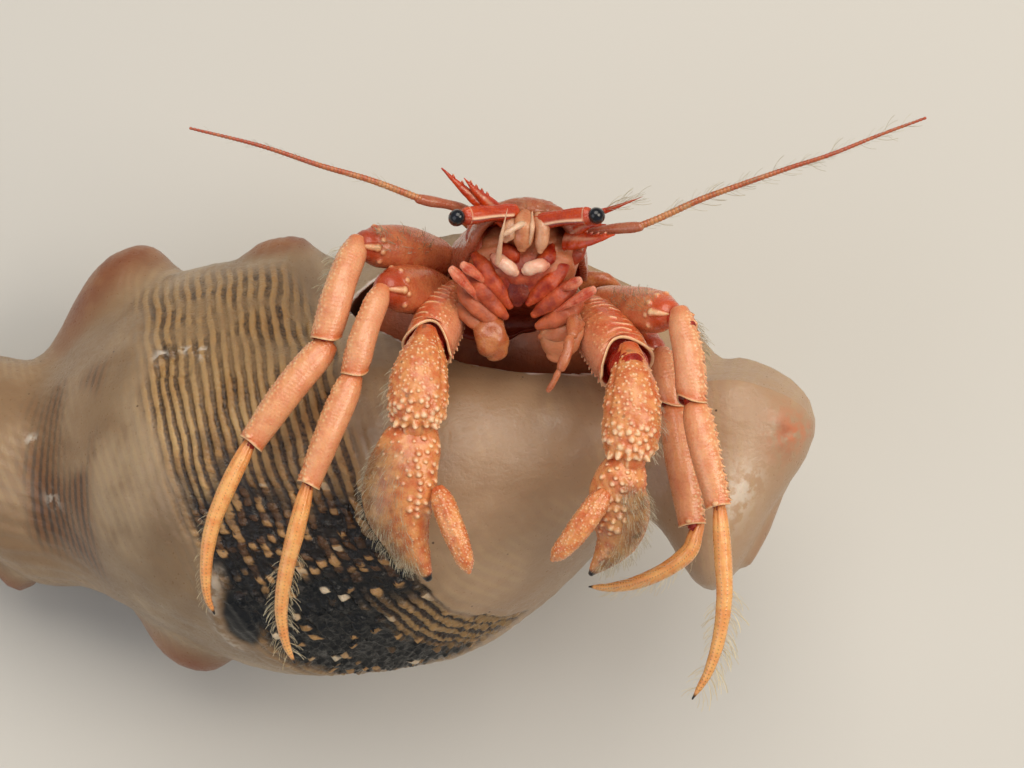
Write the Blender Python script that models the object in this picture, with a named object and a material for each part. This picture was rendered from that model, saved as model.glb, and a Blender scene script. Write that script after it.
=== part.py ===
"""Hermit crab leaning out of a large whelk-like shell: solid parts at life size.

Metres, +Z up. The shell lies on the floor with its spire toward -X and its canal
toward +X; the mouth of the shell opens up and back, toward +Y and +Z. The crab comes
out of it with its face up and its walking legs hanging forward over the shell.
"""
import math

import bmesh
import bpy
from mathutils import Vector

MM = 0.001
REST_POINT = Vector((-14.0, 4.5, 0.0))   # the point of the resting flat used as origin
LIMB_SIDES = 8             # sides of a leg's cross section
CLAW_SIDES = 10            # sides of a claw's cross section
FEELER_SIDES = 6           # sides of a feeler's cross section

# ---- the shell -----------------------------------------------------------------
SHELL_MIDDLE = Vector((-7.0, 0.0, 27.1))   # a point on the shell's axis
SHELL_TILT = 13.5          # degrees the canal end is raised
SHELL_TURN = 6.0           # degrees the spire swings back
SPIRE_END = -80.0          # where the spire tip lies along the axis
CANAL_END = 63.0           # where the canal end lies along the axis
SHELL_COLUMNS = 36         # steps round the axis
SHELL_STATIONS = 40        # steps along the axis
LIP_ANGLE = -5.0           # where the outer lip stands, round the axis
INNER_LIP_ANGLE = 65.0     # where the inner lip stands
LIP_FLARE = 6.0            # how far the outer lip turns outward
CANAL_RADIUS = 8.4
CANAL_LOBE = 12.0          # the front lobe of the canal end
CANAL_BEND = 9.5           # how far the canal end bends back
LID_START = -4.0          # the open mouth begins here along the axis
LID_FULL = 2.0            # and is flat from lip to lip from here on
STATION_EASE = 0.75        # how much closer the stations stand near both ends
SUTURE_FILL = 7.0          # higher makes the grooves between whorls sharper

# Stages of the spiral: turns back from the outer lip, whorl radius, centre along the
# axis, reach toward the spire, reach toward the canal.
WHORLS = (
    (0.00, 28.3, 9.0, 46.0, 43.0),
    (0.25, 27.8, 4.0, 42.0, 41.0),
    (0.50, 25.7, -1.0, 34.0, 43.0),
    (0.75, 25.4, -6.0, 30.0, 53.0),
    (1.00, 22.3, -17.0, 26.0, 50.0),
    (1.45, 17.2, -35.0, 13.0, 30.0),
    (2.00, 12.4, -48.0, 14.0, 24.0),
    (2.50, 9.8, -56.5, 12.0, 18.0),
    (3.00, 8.3, -63.0, 10.5, 14.0),
    (3.50, 6.2, -68.0, 8.5, 11.0),
    (4.00, 4.5, -72.0, 7.0, 8.0),
    (4.50, 3.2, -75.5, 5.0, 6.0),
    (5.00, 2.2, -77.5, 4.0, 4.0),
)

# Soft growths that stand out of the shell's cover: centre along the axis, angle round
# the axis, half length, half width, height.
GROWTHS = {
    "growth_back_left": (-30.0, 8.0, 7.2, 7.6, 5.6),
    "growth_back_middle": (-7.0, 12.0, 4.2, 4.5, 0.6),
    "growth_front_left": (-17.5, 197.0, 6.2, 5.6, 3.0),
    "growth_spire": (-43.5, 200.0, 4.0, 4.5, 3.2),
    "growth_canal": (57.0, 195.0, 2.2, 2.2, 1.2),
}
GROWTH_LIFT = 0.85          # clear space under a growth
GROWTH_RINGS = 4
GROWTH_SPOKES = 12
GROWTH_EDGE = 0.6          # thickness of a growth at its rim

# Hollow of the shell: place along the axis, angle round it, distance from it, half
# length along the axis, half height across it.
HOLLOW = (
    (21.0, 28.0, 31.7, 21.0, 14.5),
    (21.0, 21.5, 23.2, 20.5, 13.6),
    (20.0, 13.0, 18.2, 19.0, 11.6),
    (18.0, -8.0, 18.6, 17.0, 10.0),
    (15.5, -30.0, 18.2, 15.0, 9.2),
    (13.0, -54.0, 17.6, 12.5, 8.2),
    (10.0, -78.0, 17.0, 10.0, 6.8),
    (7.5, -98.0, 16.4, 7.0, 5.0),
)

# ---- the crab's trunk -----------------------------------------------------------
# height, centre x, centre y, half width, half depth, slope toward the back
TRUNK = (
    (39.8, 15.0, 19.0, 8.2, 6.0, -0.95),
    (41.2, 15.6, 19.6, 8.8, 6.1, -0.75),
    (43.0, 17.0, 20.6, 8.6, 5.9, -0.35),
    (46.5, 18.0, 21.0, 7.6, 5.2, 0.0),
    (51.0, 18.9, 20.9, 6.6, 4.5, 0.0),
    (55.0, 19.3, 20.9, 6.0, 3.8, 0.0),
    (58.2, 19.5, 21.0, 5.4, 3.3, 0.0),
)
SHIELD_THICK = 1.0
# height, centre x, centre y, half width, half depth of the shield's outer face
SHIELD = (
    (48.0, 18.5, 21.0, 9.0, 7.4),
    (51.5, 19.0, 21.0, 8.5, 6.9),
    (55.0, 19.3, 21.0, 7.8, 6.1),
    (58.5, 19.5, 21.3, 7.0, 5.5),
    (61.5, 19.5, 21.8, 6.0, 4.6),
)
SHIELD_SPREAD = 78.0       # degrees the shield wraps to either side of the back

# ---- materials: name -> base colour -------------------------------------------------
COLOURS = {
    "shell_cover": (0.52, 0.40, 0.26),
    "growth": (0.62, 0.33, 0.19),
    "orange_cuticle": (0.85, 0.36, 0.17),
    "pink_cuticle": (0.84, 0.42, 0.28),
    "golden_cuticle": (0.86, 0.47, 0.18),
    "red_membrane": (0.55, 0.06, 0.04),
    "white_tooth": (0.93, 0.72, 0.62),
    "eye_black": (0.01, 0.01, 0.015),
    "abdomen_skin": (0.78, 0.50, 0.38),
}


def clear_scene():
    """Take every object out of the scene."""
    for item in list(bpy.data.objects):
        bpy.data.objects.remove(item, do_unlink=True)


def material(name):
    """The plain stand-in material of one surface."""
    found = bpy.data.materials.get(name)
    if found:
        return found
    made = bpy.data.materials.new(name)
    made.use_nodes = True
    shader = made.node_tree.nodes["Principled BSDF"]
    red, green, blue = COLOURS[name]
    shader.inputs["Base Color"].default_value = (red, green, blue, 1.0)
    shader.inputs["Roughness"].default_value = 0.45
    return made


def add_object(name, mesh_data, surface):
    """Turn a finished bmesh, drawn in millimetres, into one named object."""
    bmesh.ops.recalc_face_normals(mesh_data, faces=mesh_data.faces)
    bmesh.ops.translate(mesh_data, vec=-REST_POINT, verts=mesh_data.verts)
    bmesh.ops.scale(mesh_data, vec=(MM, MM, MM), verts=mesh_data.verts)
    mesh = bpy.data.meshes.new(name)
    mesh_data.to_mesh(mesh)
    mesh_data.free()
    made = bpy.data.objects.new(name, mesh)
    bpy.context.scene.collection.objects.link(made)
    made.data.materials.append(material(surface))
    return made


def close_end(mesh_data, ring):
    """Close a ring of vertices with a fan about its middle."""
    middle = sum((vertex.co for vertex in ring), Vector()) / len(ring)
    hub = mesh_data.verts.new(middle)
    for index, vertex in enumerate(ring):
        mesh_data.faces.new((hub, vertex, ring[(index + 1) % len(ring)]))


def bridge(mesh_data, rings):
    """Join rings of equal count, one after the other, into a tube."""
    for low, high in zip(rings, rings[1:]):
        count = len(low)
        for index in range(count):
            after = (index + 1) % count
            mesh_data.faces.new((low[index], low[after], high[after], high[index]))


def loft(name, outlines, surface):
    """A closed body through outlines, each a list of points."""
    mesh_data = bmesh.new()
    rings = [[mesh_data.verts.new(point) for point in outline] for outline in outlines]
    bridge(mesh_data, rings)
    close_end(mesh_data, rings[0])
    close_end(mesh_data, rings[-1])
    return add_object(name, mesh_data, surface)


def along(points, share):
    """The place on a smooth curve through points at a share 0..1 of its length."""
    lengths = [(b - a).length for a, b in zip(points, points[1:])]
    want = share * sum(lengths)
    span = 0
    while span < len(lengths) - 1 and want > lengths[span]:
        want -= lengths[span]
        span += 1
    t = min(1.0, want / lengths[span])
    start, end = points[span], points[span + 1]
    before = points[span - 1] if span > 0 else start * 2.0 - end
    beyond = points[span + 2] if span + 2 < len(points) else end * 2.0 - start
    return 0.5 * (
        2.0 * start
        + (end - before) * t
        + (2.0 * before - 5.0 * start + 4.0 * end - beyond) * t * t
        + (3.0 * start - before - 3.0 * end + beyond) * t * t * t
    )


def limb_outlines(points, width, depth, shape, facing, sides):
    """Elliptical cross sections along a curve; shape holds (share, width, depth)."""
    outlines = []
    for share, wide, deep in shape:
        here = along(points, share)
        ahead = along(points, min(1.0, share + 0.02))
        behind = along(points, max(0.0, share - 0.02))
        course = (ahead - behind).normalized()
        side = course.cross(facing).normalized()
        up = side.cross(course)
        outline = []
        for step in range(sides):
            turn = 2.0 * math.pi * step / sides
            outline.append(
                here
                + side * (width * wide * math.cos(turn))
                + up * (depth * deep * math.sin(turn))
            )
        outlines.append(outline)
    return outlines


def limb(name, points, width, depth, shape, surface, facing=(0, 0, 1), sides=LIMB_SIDES):
    """One piece of a limb: a curved tapering body of oval section."""
    course = [Vector(point) for point in points]
    outlines = limb_outlines(course, width, depth, shape, Vector(facing), sides)
    return loft(name, outlines, surface)


# Cross-section changes along each kind of piece: share of length, width, depth.
MERUS = ((0, 0.55, 0.6), (0.1, 0.8, 0.85), (0.4, 1.0, 1.0), (0.8, 1.0, 1.0), (0.95, 0.9, 0.9),
         (1, 0.68, 0.68))
CARPUS = ((0, 0.5, 0.5), (0.1, 0.75, 0.75), (0.4, 0.93, 0.93), (0.75, 1, 1), (0.94, 0.95, 0.95),
          (1, 0.75, 0.75))
PROPODUS = ((0, 0.6, 0.6), (0.06, 0.88, 0.88), (0.3, 1.02, 1.02), (0.65, 0.96, 0.96),
            (0.95, 0.84, 0.84), (1, 0.66, 0.66))
DACTYL = ((0, 0.62, 0.62), (0.05, 0.85, 0.85), (0.2, 1, 1), (0.42, 0.93, 0.95), (0.62, 0.8, 0.84),
          (0.8, 0.6, 0.66), (0.92, 0.42, 0.46), (1, 0.2, 0.22))
ARM = ((0, 0.4, 0.5), (0.15, 0.62, 0.7), (0.45, 0.85, 0.9), (0.8, 1, 1), (0.95, 0.97, 0.95),
       (1, 0.82, 0.8))
WRIST = ((0, 0.42, 0.45), (0.12, 0.6, 0.65), (0.35, 0.82, 0.88), (0.65, 1, 1), (0.88, 0.9, 0.92),
         (0.97, 0.7, 0.75), (1, 0.5, 0.5))
HAND = ((0, 0.45, 0.55), (0.07, 0.66, 0.8), (0.25, 0.9, 1), (0.45, 1, 1), (0.6, 0.86, 0.86),
        (0.75, 0.6, 0.66), (0.9, 0.32, 0.45), (1, 0.13, 0.2))
FINGER = ((0, 0.6, 0.7), (0.08, 0.85, 0.9), (0.35, 1, 1), (0.7, 0.88, 0.9), (0.92, 0.62, 0.7),
          (1, 0.3, 0.35))
ROD = ((0, 0.85, 0.85), (0.15, 1, 1), (0.5, 0.95, 0.95), (0.85, 0.95, 0.95), (1, 0.8, 0.8))
STALK = ((0, 0.8, 0.8), (0.12, 0.92, 0.92), (0.45, 0.88, 0.88), (0.85, 1, 1), (1, 0.96, 0.96))
CORNEA = ((0, 0.9, 0.9), (0.2, 1, 1), (0.5, 0.95, 0.95), (0.78, 0.7, 0.7), (0.94, 0.38, 0.38))
SPINE = ((0, 0.8, 0.8), (0.15, 1, 1), (0.4, 0.8, 0.85), (0.7, 0.45, 0.6), (1, 0.2, 0.4))
PADDLE = ((0, 0.4, 0.6), (0.3, 0.75, 0.8), (0.7, 1, 1), (0.92, 0.8, 0.9), (1, 0.4, 0.6))
FLAGELLUM = tuple((step / 14.0, 1.0 - 0.45 * step / 14.0, 1.0 - 0.45 * step / 14.0)
                  for step in range(15))

# Walking legs. Each piece: its course from the body outward, half width, half depth.
LEGS = {
    "right_leg_1": {
        "merus": (((8.2, 22.9, 46.5), (4.8, 22.2, 53.0), (1.6, 21.6, 57.0)), 2.3, 2.1),
        "carpus": (((-0.2, 20.7, 58.8), (-1.8, 15.5, 60.0), (-3.3, 9.9, 59.4)), 1.85, 1.8),
        "propodus": (((-3.7, 8.7, 59.0), (-7.6, 3.8, 59.0), (-11.6, -1.8, 58.0)), 1.8, 1.7),
        "dactyl": (((-12.3, -2.7, 57.7), (-14.2, -6.6, 57.2), (-16.0, -11.0, 56.3),
                    (-16.8, -15.1, 55.0), (-16.8, -18.7, 53.5), (-16.1, -20.7, 52.2)), 1.0, 1.1),
    },
    "right_leg_2": {
        "merus": (((9.0, 17.4, 46.5), (6.4, 16.8, 52.5), (4.3, 16.0, 57.2)), 2.1, 2.1),
        "carpus": (((2.7, 14.6, 60.0), (1.2, 10.0, 61.0), (0.1, 5.6, 60.4)), 1.6, 1.6),
        "propodus": (((-0.4, 4.5, 60.2), (-2.6, -1.0, 60.0), (-4.9, -6.7, 58.9)), 1.6, 1.6),
        "dactyl": (((-5.3, -7.7, 58.5), (-6.5, -12.3, 57.4), (-7.7, -16.6, 55.5),
                    (-8.3, -20.6, 53.5), (-7.9, -24.0, 51.5), (-7.0, -26.1, 50.0)), 1.0, 1.1),
    },
    "left_leg_1": {
        "merus": (((28.6, 16.8, 46.6), (33.0, 14.8, 52.4), (35.2, 13.2, 57.6)), 2.2, 2.1),
        "carpus": (((37.3, 11.8, 60.4), (38.0, 7.0, 61.4), (38.3, 2.2, 61.0)), 1.8, 1.8),
        "propodus": (((38.8, 1.1, 60.9), (39.8, -4.0, 61.0), (41.1, -9.3, 60.0)), 1.7, 1.7),
        "dactyl": (((41.3, -10.4, 59.8), (41.6, -15.4, 59.3), (41.7, -19.8, 58.5),
                    (41.1, -24.1, 57.3), (40.0, -27.6, 56.0), (38.3, -30.5, 54.5)), 1.0, 1.1),
    },
    "left_leg_2": {
        "merus": (((28.4, 15.2, 42.4), (32.0, 12.8, 46.0), (34.6, 11.2, 49.2)), 2.0, 2.0),
        "carpus": (((35.9, 9.3, 50.6), (36.4, 6.4, 51.2), (36.8, 3.7, 51.0)), 1.8, 1.8),
        "propodus": (((37.1, 2.6, 51.0), (38.0, -4.0, 51.2), (39.0, -10.0, 50.2)), 1.9, 1.7),
        "dactyl": (((39.4, -11.2, 49.8), (38.6, -13.2, 49.5), (36.2, -15.1, 49.0),
                    (33.0, -16.5, 48.0), (29.8, -17.1, 47.0), (27.1, -16.9, 46.0)), 1.0, 1.1),
    },
}

# Claw legs: arm, wrist, hand with its fixed finger, and the finger that moves.
CLAWS = {
    "right_claw": {
        "merus": (((12.4, 14.0, 49.0), (10.4, 12.2, 53.2), (8.7, 9.4, 56.4)), 3.1, 2.5),
        "carpus": (((8.0, 8.7, 60.2), (7.5, 4.2, 61.4), (7.3, -0.3, 60.7)), 3.4, 2.9),
        "palm": (((7.1, -1.2, 59.6), (5.7, -5.2, 59.2), (5.2, -9.0, 58.2), (6.2, -12.8, 56.8),
                  (8.5, -17.0, 55.4)), 4.2, 2.7),
        "finger": (((10.4, -9.4, 60.6), (11.3, -11.8, 60.8), (12.3, -14.3, 60.2),
                    (13.1, -16.5, 59.0)), 1.35, 1.3),
    },
    "left_claw": {
        "merus": (((24.9, 13.6, 49.0), (27.6, 11.4, 53.4), (30.1, 7.6, 56.6)), 3.3, 2.6),
        "carpus": (((31.4, 6.6, 60.4), (31.5, 1.3, 61.6), (31.1, -4.1, 60.8)), 3.3, 2.9),
        "palm": (((30.6, -5.1, 60.0), (30.0, -7.6, 59.2), (30.2, -10.4, 57.8),
                  (29.6, -13.2, 56.4), (27.0, -16.4, 55.0)), 3.4, 2.5),
        "finger": (((27.2, -9.8, 61.8), (25.9, -11.6, 61.6), (24.3, -13.6, 60.6),
                    (22.7, -15.2, 59.2)), 1.35, 1.25),
    },
}


def stage(turns_back):
    """Whorl radius, centre and reaches at a number of turns back from the lip."""
    for low, high in zip(WHORLS, WHORLS[1:]):
        if turns_back <= high[0]:
            share = (turns_back - low[0]) / (high[0] - low[0])
            return [a + (b - a) * share for a, b in zip(low[1:], high[1:])]
    return list(WHORLS[-1][1:])


def smooth_step(value):
    """Eases from 0 to 1 as the value goes from 0 to 1."""
    held = min(1.0, max(0.0, value))
    return held * held * (3.0 - 2.0 * held)


def bell(value, centre, spread):
    """A smooth bump of height one."""
    return math.exp(-((value - centre) / spread) ** 2)


def whorl_reach(place, angle):
    """How far the coiled wall stands off the axis, without the open mouth."""
    total = 0.0
    turned = (angle - LIP_ANGLE) % 360.0
    for pass_number in range(6):
        turns_back = 1.0 - turned / 360.0 + pass_number
        if turns_back > WHORLS[-1][0]:
            break
        radius, centre, spire_reach, canal_reach = stage(turns_back)
        if place < centre:
            sharpness = 2.4 if turns_back < 0.25 else 1.5
            off = (centre - place) / spire_reach
            fall = max(0.0, 1.0 - off ** sharpness) ** 0.42
        else:
            off = (place - centre) / canal_reach
            fall = max(0.0, 1.0 - off ** 1.8) ** 0.5
        total += (radius * fall) ** SUTURE_FILL
    swing = angle % 360.0 - 180.0
    canal = CANAL_RADIUS + CANAL_LOBE * bell(place, 52.0, 6.5) * bell(swing, 0.0, 38.0)
    rise = min(1.0, max(0.0, (place - 20.0) / 14.0))
    total += (canal * rise) ** SUTURE_FILL
    reach = total ** (1.0 / SUTURE_FILL)
    if turned > 300.0:
        reach += LIP_FLARE * bell(place, 19.0, 15.0) * bell(turned, 360.0, 26.0)
    return reach


def end_taper(place):
    """Rounds off the spire tip and the canal end."""
    taper = 1.0
    if place > CANAL_END - 11.0:
        taper = math.sqrt(max(0.0, 1.0 - ((place - CANAL_END + 11.0) / 11.0) ** 2))
    if place < SPIRE_END + 4.0:
        taper = math.sqrt(max(0.0, 1.0 - ((SPIRE_END + 4.0 - place) / 4.0) ** 2))
    return taper


def shell_reach(place, angle):
    """Distance from the axis to the shell's outer face, the mouth closed by a lid."""
    turned = (angle - LIP_ANGLE) % 360.0
    opening = INNER_LIP_ANGLE - LIP_ANGLE
    if turned >= opening:
        return whorl_reach(place, angle) * end_taper(place)
    outer = whorl_reach(place, LIP_ANGLE - 0.01)
    inner = whorl_reach(place, INNER_LIP_ANGLE)
    past = math.radians(turned)
    left = math.radians(opening - turned)
    lid = outer * inner * math.sin(past + left)
    lid /= outer * math.sin(past) + inner * math.sin(left)
    wall = outer + (inner - outer) * smooth_step(turned / opening)
    open_share = smooth_step((place - LID_START) / (LID_FULL - LID_START))
    return (wall + (lid - wall) * open_share) * end_taper(place)


def shell_frame():
    """Directions along the shell's axis, across it to the back, and up from it."""
    tilt = math.radians(SHELL_TILT)
    turn = math.radians(SHELL_TURN)
    level = Vector((math.cos(turn), -math.sin(turn), 0.0))
    back = Vector((math.sin(turn), math.cos(turn), 0.0))
    axis = level * math.cos(tilt) + Vector((0.0, 0.0, math.sin(tilt)))
    return axis, back, axis.cross(back)


def shell_point(place, angle, reach):
    """A point of the room from its place along, round and off the shell's axis."""
    axis, back, upright = shell_frame()
    shift = CANAL_BEND * smooth_step((place - 15.0) / 40.0)
    turn = math.radians(angle)
    return (
        SHELL_MIDDLE
        + axis * place
        + back * (shift + reach * math.cos(turn))
        + upright * (reach * math.sin(turn))
    )


def shell_stations():
    """Places along the axis, closer together toward both ends."""
    places = []
    for step in range(SHELL_STATIONS):
        share = (step + 0.5) / SHELL_STATIONS
        eased = share - STATION_EASE * math.sin(2.0 * math.pi * share) / (2.0 * math.pi)
        places.append(SPIRE_END + 0.1 + (CANAL_END - SPIRE_END - 0.2) * eased)
    return places


def make_shell():
    """The coiled shell with its cover, flattened where it rests, its mouth hollowed."""
    mesh_data = bmesh.new()
    rings = []
    for place in shell_stations():
        ring = []
        for step in range(SHELL_COLUMNS):
            angle = LIP_ANGLE + 360.0 * step / SHELL_COLUMNS
            reach = shell_reach(place, angle)
            ring.append(mesh_data.verts.new(shell_point(place, angle, reach)))
        rings.append(ring)
    bridge(mesh_data, rings)
    close_end(mesh_data, rings[0])
    close_end(mesh_data, rings[-1])
    bmesh.ops.recalc_face_normals(mesh_data, faces=mesh_data.faces)
    bmesh.ops.bisect_plane(
        mesh_data,
        geom=mesh_data.verts[:] + mesh_data.edges[:] + mesh_data.faces[:],
        plane_co=(0, 0, 0),
        plane_no=(0, 0, -1),
        clear_outer=True,
    )
    bmesh.ops.holes_fill(mesh_data, edges=mesh_data.edges, sides=0)
    shell = add_object("shell", mesh_data, "shell_cover")
    hollow = loft("shell_hollow_cutter", hollow_outlines(0.0, 0, len(HOLLOW)), "shell_cover")
    hollow.hide_render = True
    hollow.display_type = "WIRE"
    carve = shell.modifiers.new("hollow", "BOOLEAN")
    carve.operation = "DIFFERENCE"
    carve.solver = "EXACT"
    carve.object = hollow


def hollow_outlines(inset, first, last):
    """Oval cross sections along the hollow that curls down into the shell."""
    outlines = []
    centres = []
    for place, angle, distance, _, _ in HOLLOW:
        centres.append(shell_point(place, angle, distance))
    for index in range(first, last):
        place, angle, distance, half_length, half_height = HOLLOW[index]
        ahead = centres[min(index + 1, len(centres) - 1)]
        behind = centres[max(index - 1, 0)]
        course = (ahead - behind).normalized()
        axis = shell_frame()[0]
        lengthwise = (axis - course * axis.dot(course)).normalized()
        across = course.cross(lengthwise)
        outline = []
        for step in range(20):
            turn = 2.0 * math.pi * step / 20
            outline.append(
                centres[index]
                + lengthwise * ((half_length - inset) * math.cos(turn))
                + across * ((half_height - inset) * math.sin(turn))
            )
        outlines.append(outline)
    return outlines


def make_growth(name, place, angle, half_length, half_width, height):
    """A soft dome on the shell: its underside follows the shell one gap away."""
    mesh_data = bmesh.new()
    spokes = GROWTH_SPOKES
    middle_reach = shell_reach(place, angle)

    def lay(out_share, spoke, lift):
        turn = 2.0 * math.pi * spoke / spokes
        here = place + half_length * out_share * math.cos(turn)
        swing = math.degrees(half_width * out_share * math.sin(turn) / middle_reach)
        reach = shell_reach(here, angle + swing) + lift
        return mesh_data.verts.new(shell_point(here, angle + swing, reach))

    outer = [lay(0.0, 0, GROWTH_LIFT + GROWTH_EDGE + height)]
    under = [lay(0.0, 0, GROWTH_LIFT)]
    tops = []
    bottoms = []
    for ring in range(1, GROWTH_RINGS + 1):
        slope = 0.5 * math.pi * ring / GROWTH_RINGS
        out_share = math.sin(slope)
        rise = GROWTH_LIFT + GROWTH_EDGE + height * math.cos(slope)
        tops.append([lay(out_share, spoke, rise) for spoke in range(spokes)])
        bottoms.append([lay(out_share, spoke, GROWTH_LIFT) for spoke in range(spokes)])
    for spoke in range(spokes):
        after = (spoke + 1) % spokes
        mesh_data.faces.new((outer[0], tops[0][spoke], tops[0][after]))
        mesh_data.faces.new((under[0], bottoms[0][spoke], bottoms[0][after]))
    bridge(mesh_data, tops)
    bridge(mesh_data, bottoms)
    bridge(mesh_data, [tops[-1], bottoms[-1]])
    add_object(name, mesh_data, "growth")


def oval(centre, half_width, half_depth, slope, sides):
    """An oval of points that slopes up or down toward the back."""
    points = []
    for step in range(sides):
        turn = 2.0 * math.pi * step / sides
        across = half_depth * math.sin(turn)
        points.append(
            Vector(centre) + Vector((half_width * math.cos(turn), across, slope * across))
        )
    return points


def make_trunk():
    """The front half of the body, from the mouth field down into the shell."""
    outlines = [oval((x, y, z), wide, deep, slope, 16) for z, x, y, wide, deep, slope in TRUNK]
    loft("trunk", outlines, "red_membrane")


def make_shield():
    """The hard plate that wraps the back and sides of the trunk."""
    outlines = []
    steps = 12
    for height, centre_x, centre_y, half_width, half_depth in SHIELD:
        outer = []
        inner = []
        for step in range(steps + 1):
            turn = math.radians(90.0 + SHIELD_SPREAD * (2.0 * step / steps - 1.0))
            ray = Vector((math.cos(turn), math.sin(turn), 0.0))
            centre = Vector((centre_x, centre_y, height))
            outer.append(centre + Vector((ray.x * half_width, ray.y * half_depth, 0.0)))
            inner.append(
                centre
                + Vector((ray.x * (half_width - SHIELD_THICK),
                          ray.y * (half_depth - SHIELD_THICK), 0.0))
            )
        outlines.append(outer + inner[::-1])
    mesh_data = bmesh.new()
    rings = [[mesh_data.verts.new(point) for point in outline] for outline in outlines]
    bridge(mesh_data, rings)
    mesh_data.faces.new(rings[0])
    mesh_data.faces.new(rings[-1])
    bmesh.ops.triangulate(mesh_data, faces=mesh_data.faces)
    add_object("shield", mesh_data, "orange_cuticle")


def make_abdomen():
    """The soft tail end that holds the crab in its shell."""
    outlines = hollow_outlines(1.2, 2, len(HOLLOW) - 1)
    loft("abdomen", outlines, "abdomen_skin")


def make_legs():
    """Walking legs, four hard pieces each."""
    shapes = {"merus": MERUS, "carpus": CARPUS, "propodus": PROPODUS, "dactyl": DACTYL}
    for leg, pieces in LEGS.items():
        for piece, (course, width, depth) in pieces.items():
            surface = "golden_cuticle" if piece == "dactyl" else "orange_cuticle"
            limb(leg + "_" + piece, course, width, depth, shapes[piece], surface)


def make_claws():
    """Claw legs, four hard pieces each."""
    shapes = {"merus": ARM, "carpus": WRIST, "palm": HAND, "finger": FINGER}
    for claw, pieces in CLAWS.items():
        for piece, (course, width, depth) in pieces.items():
            surface = "pink_cuticle" if piece == "merus" else "orange_cuticle"
            limb(claw + "_" + piece, course, width, depth, shapes[piece], surface,
                 sides=CLAW_SIDES)


def make_small_legs():
    """The short hind legs that brace the crab inside the rim of its shell."""
    courses = {
        "right_leg_3": ((8.2, 22.4, 42.0), (5.4, 23.4, 42.6), (3.2, 22.6, 38.6)),
        "right_leg_4": ((14.0, 28.6, 41.4), (11.6, 30.2, 41.0), (10.4, 30.4, 37.2)),
        "left_leg_3": ((26.6, 21.4, 41.6), (29.6, 21.4, 42.6), (32.2, 20.4, 40.6)),
        "left_leg_4": ((21.2, 28.4, 41.4), (23.6, 29.8, 41.0), (25.0, 29.8, 37.6)),
    }
    for name, course in courses.items():
        limb(name, course, 1.3, 1.2, SPINE, "pink_cuticle")


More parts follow.
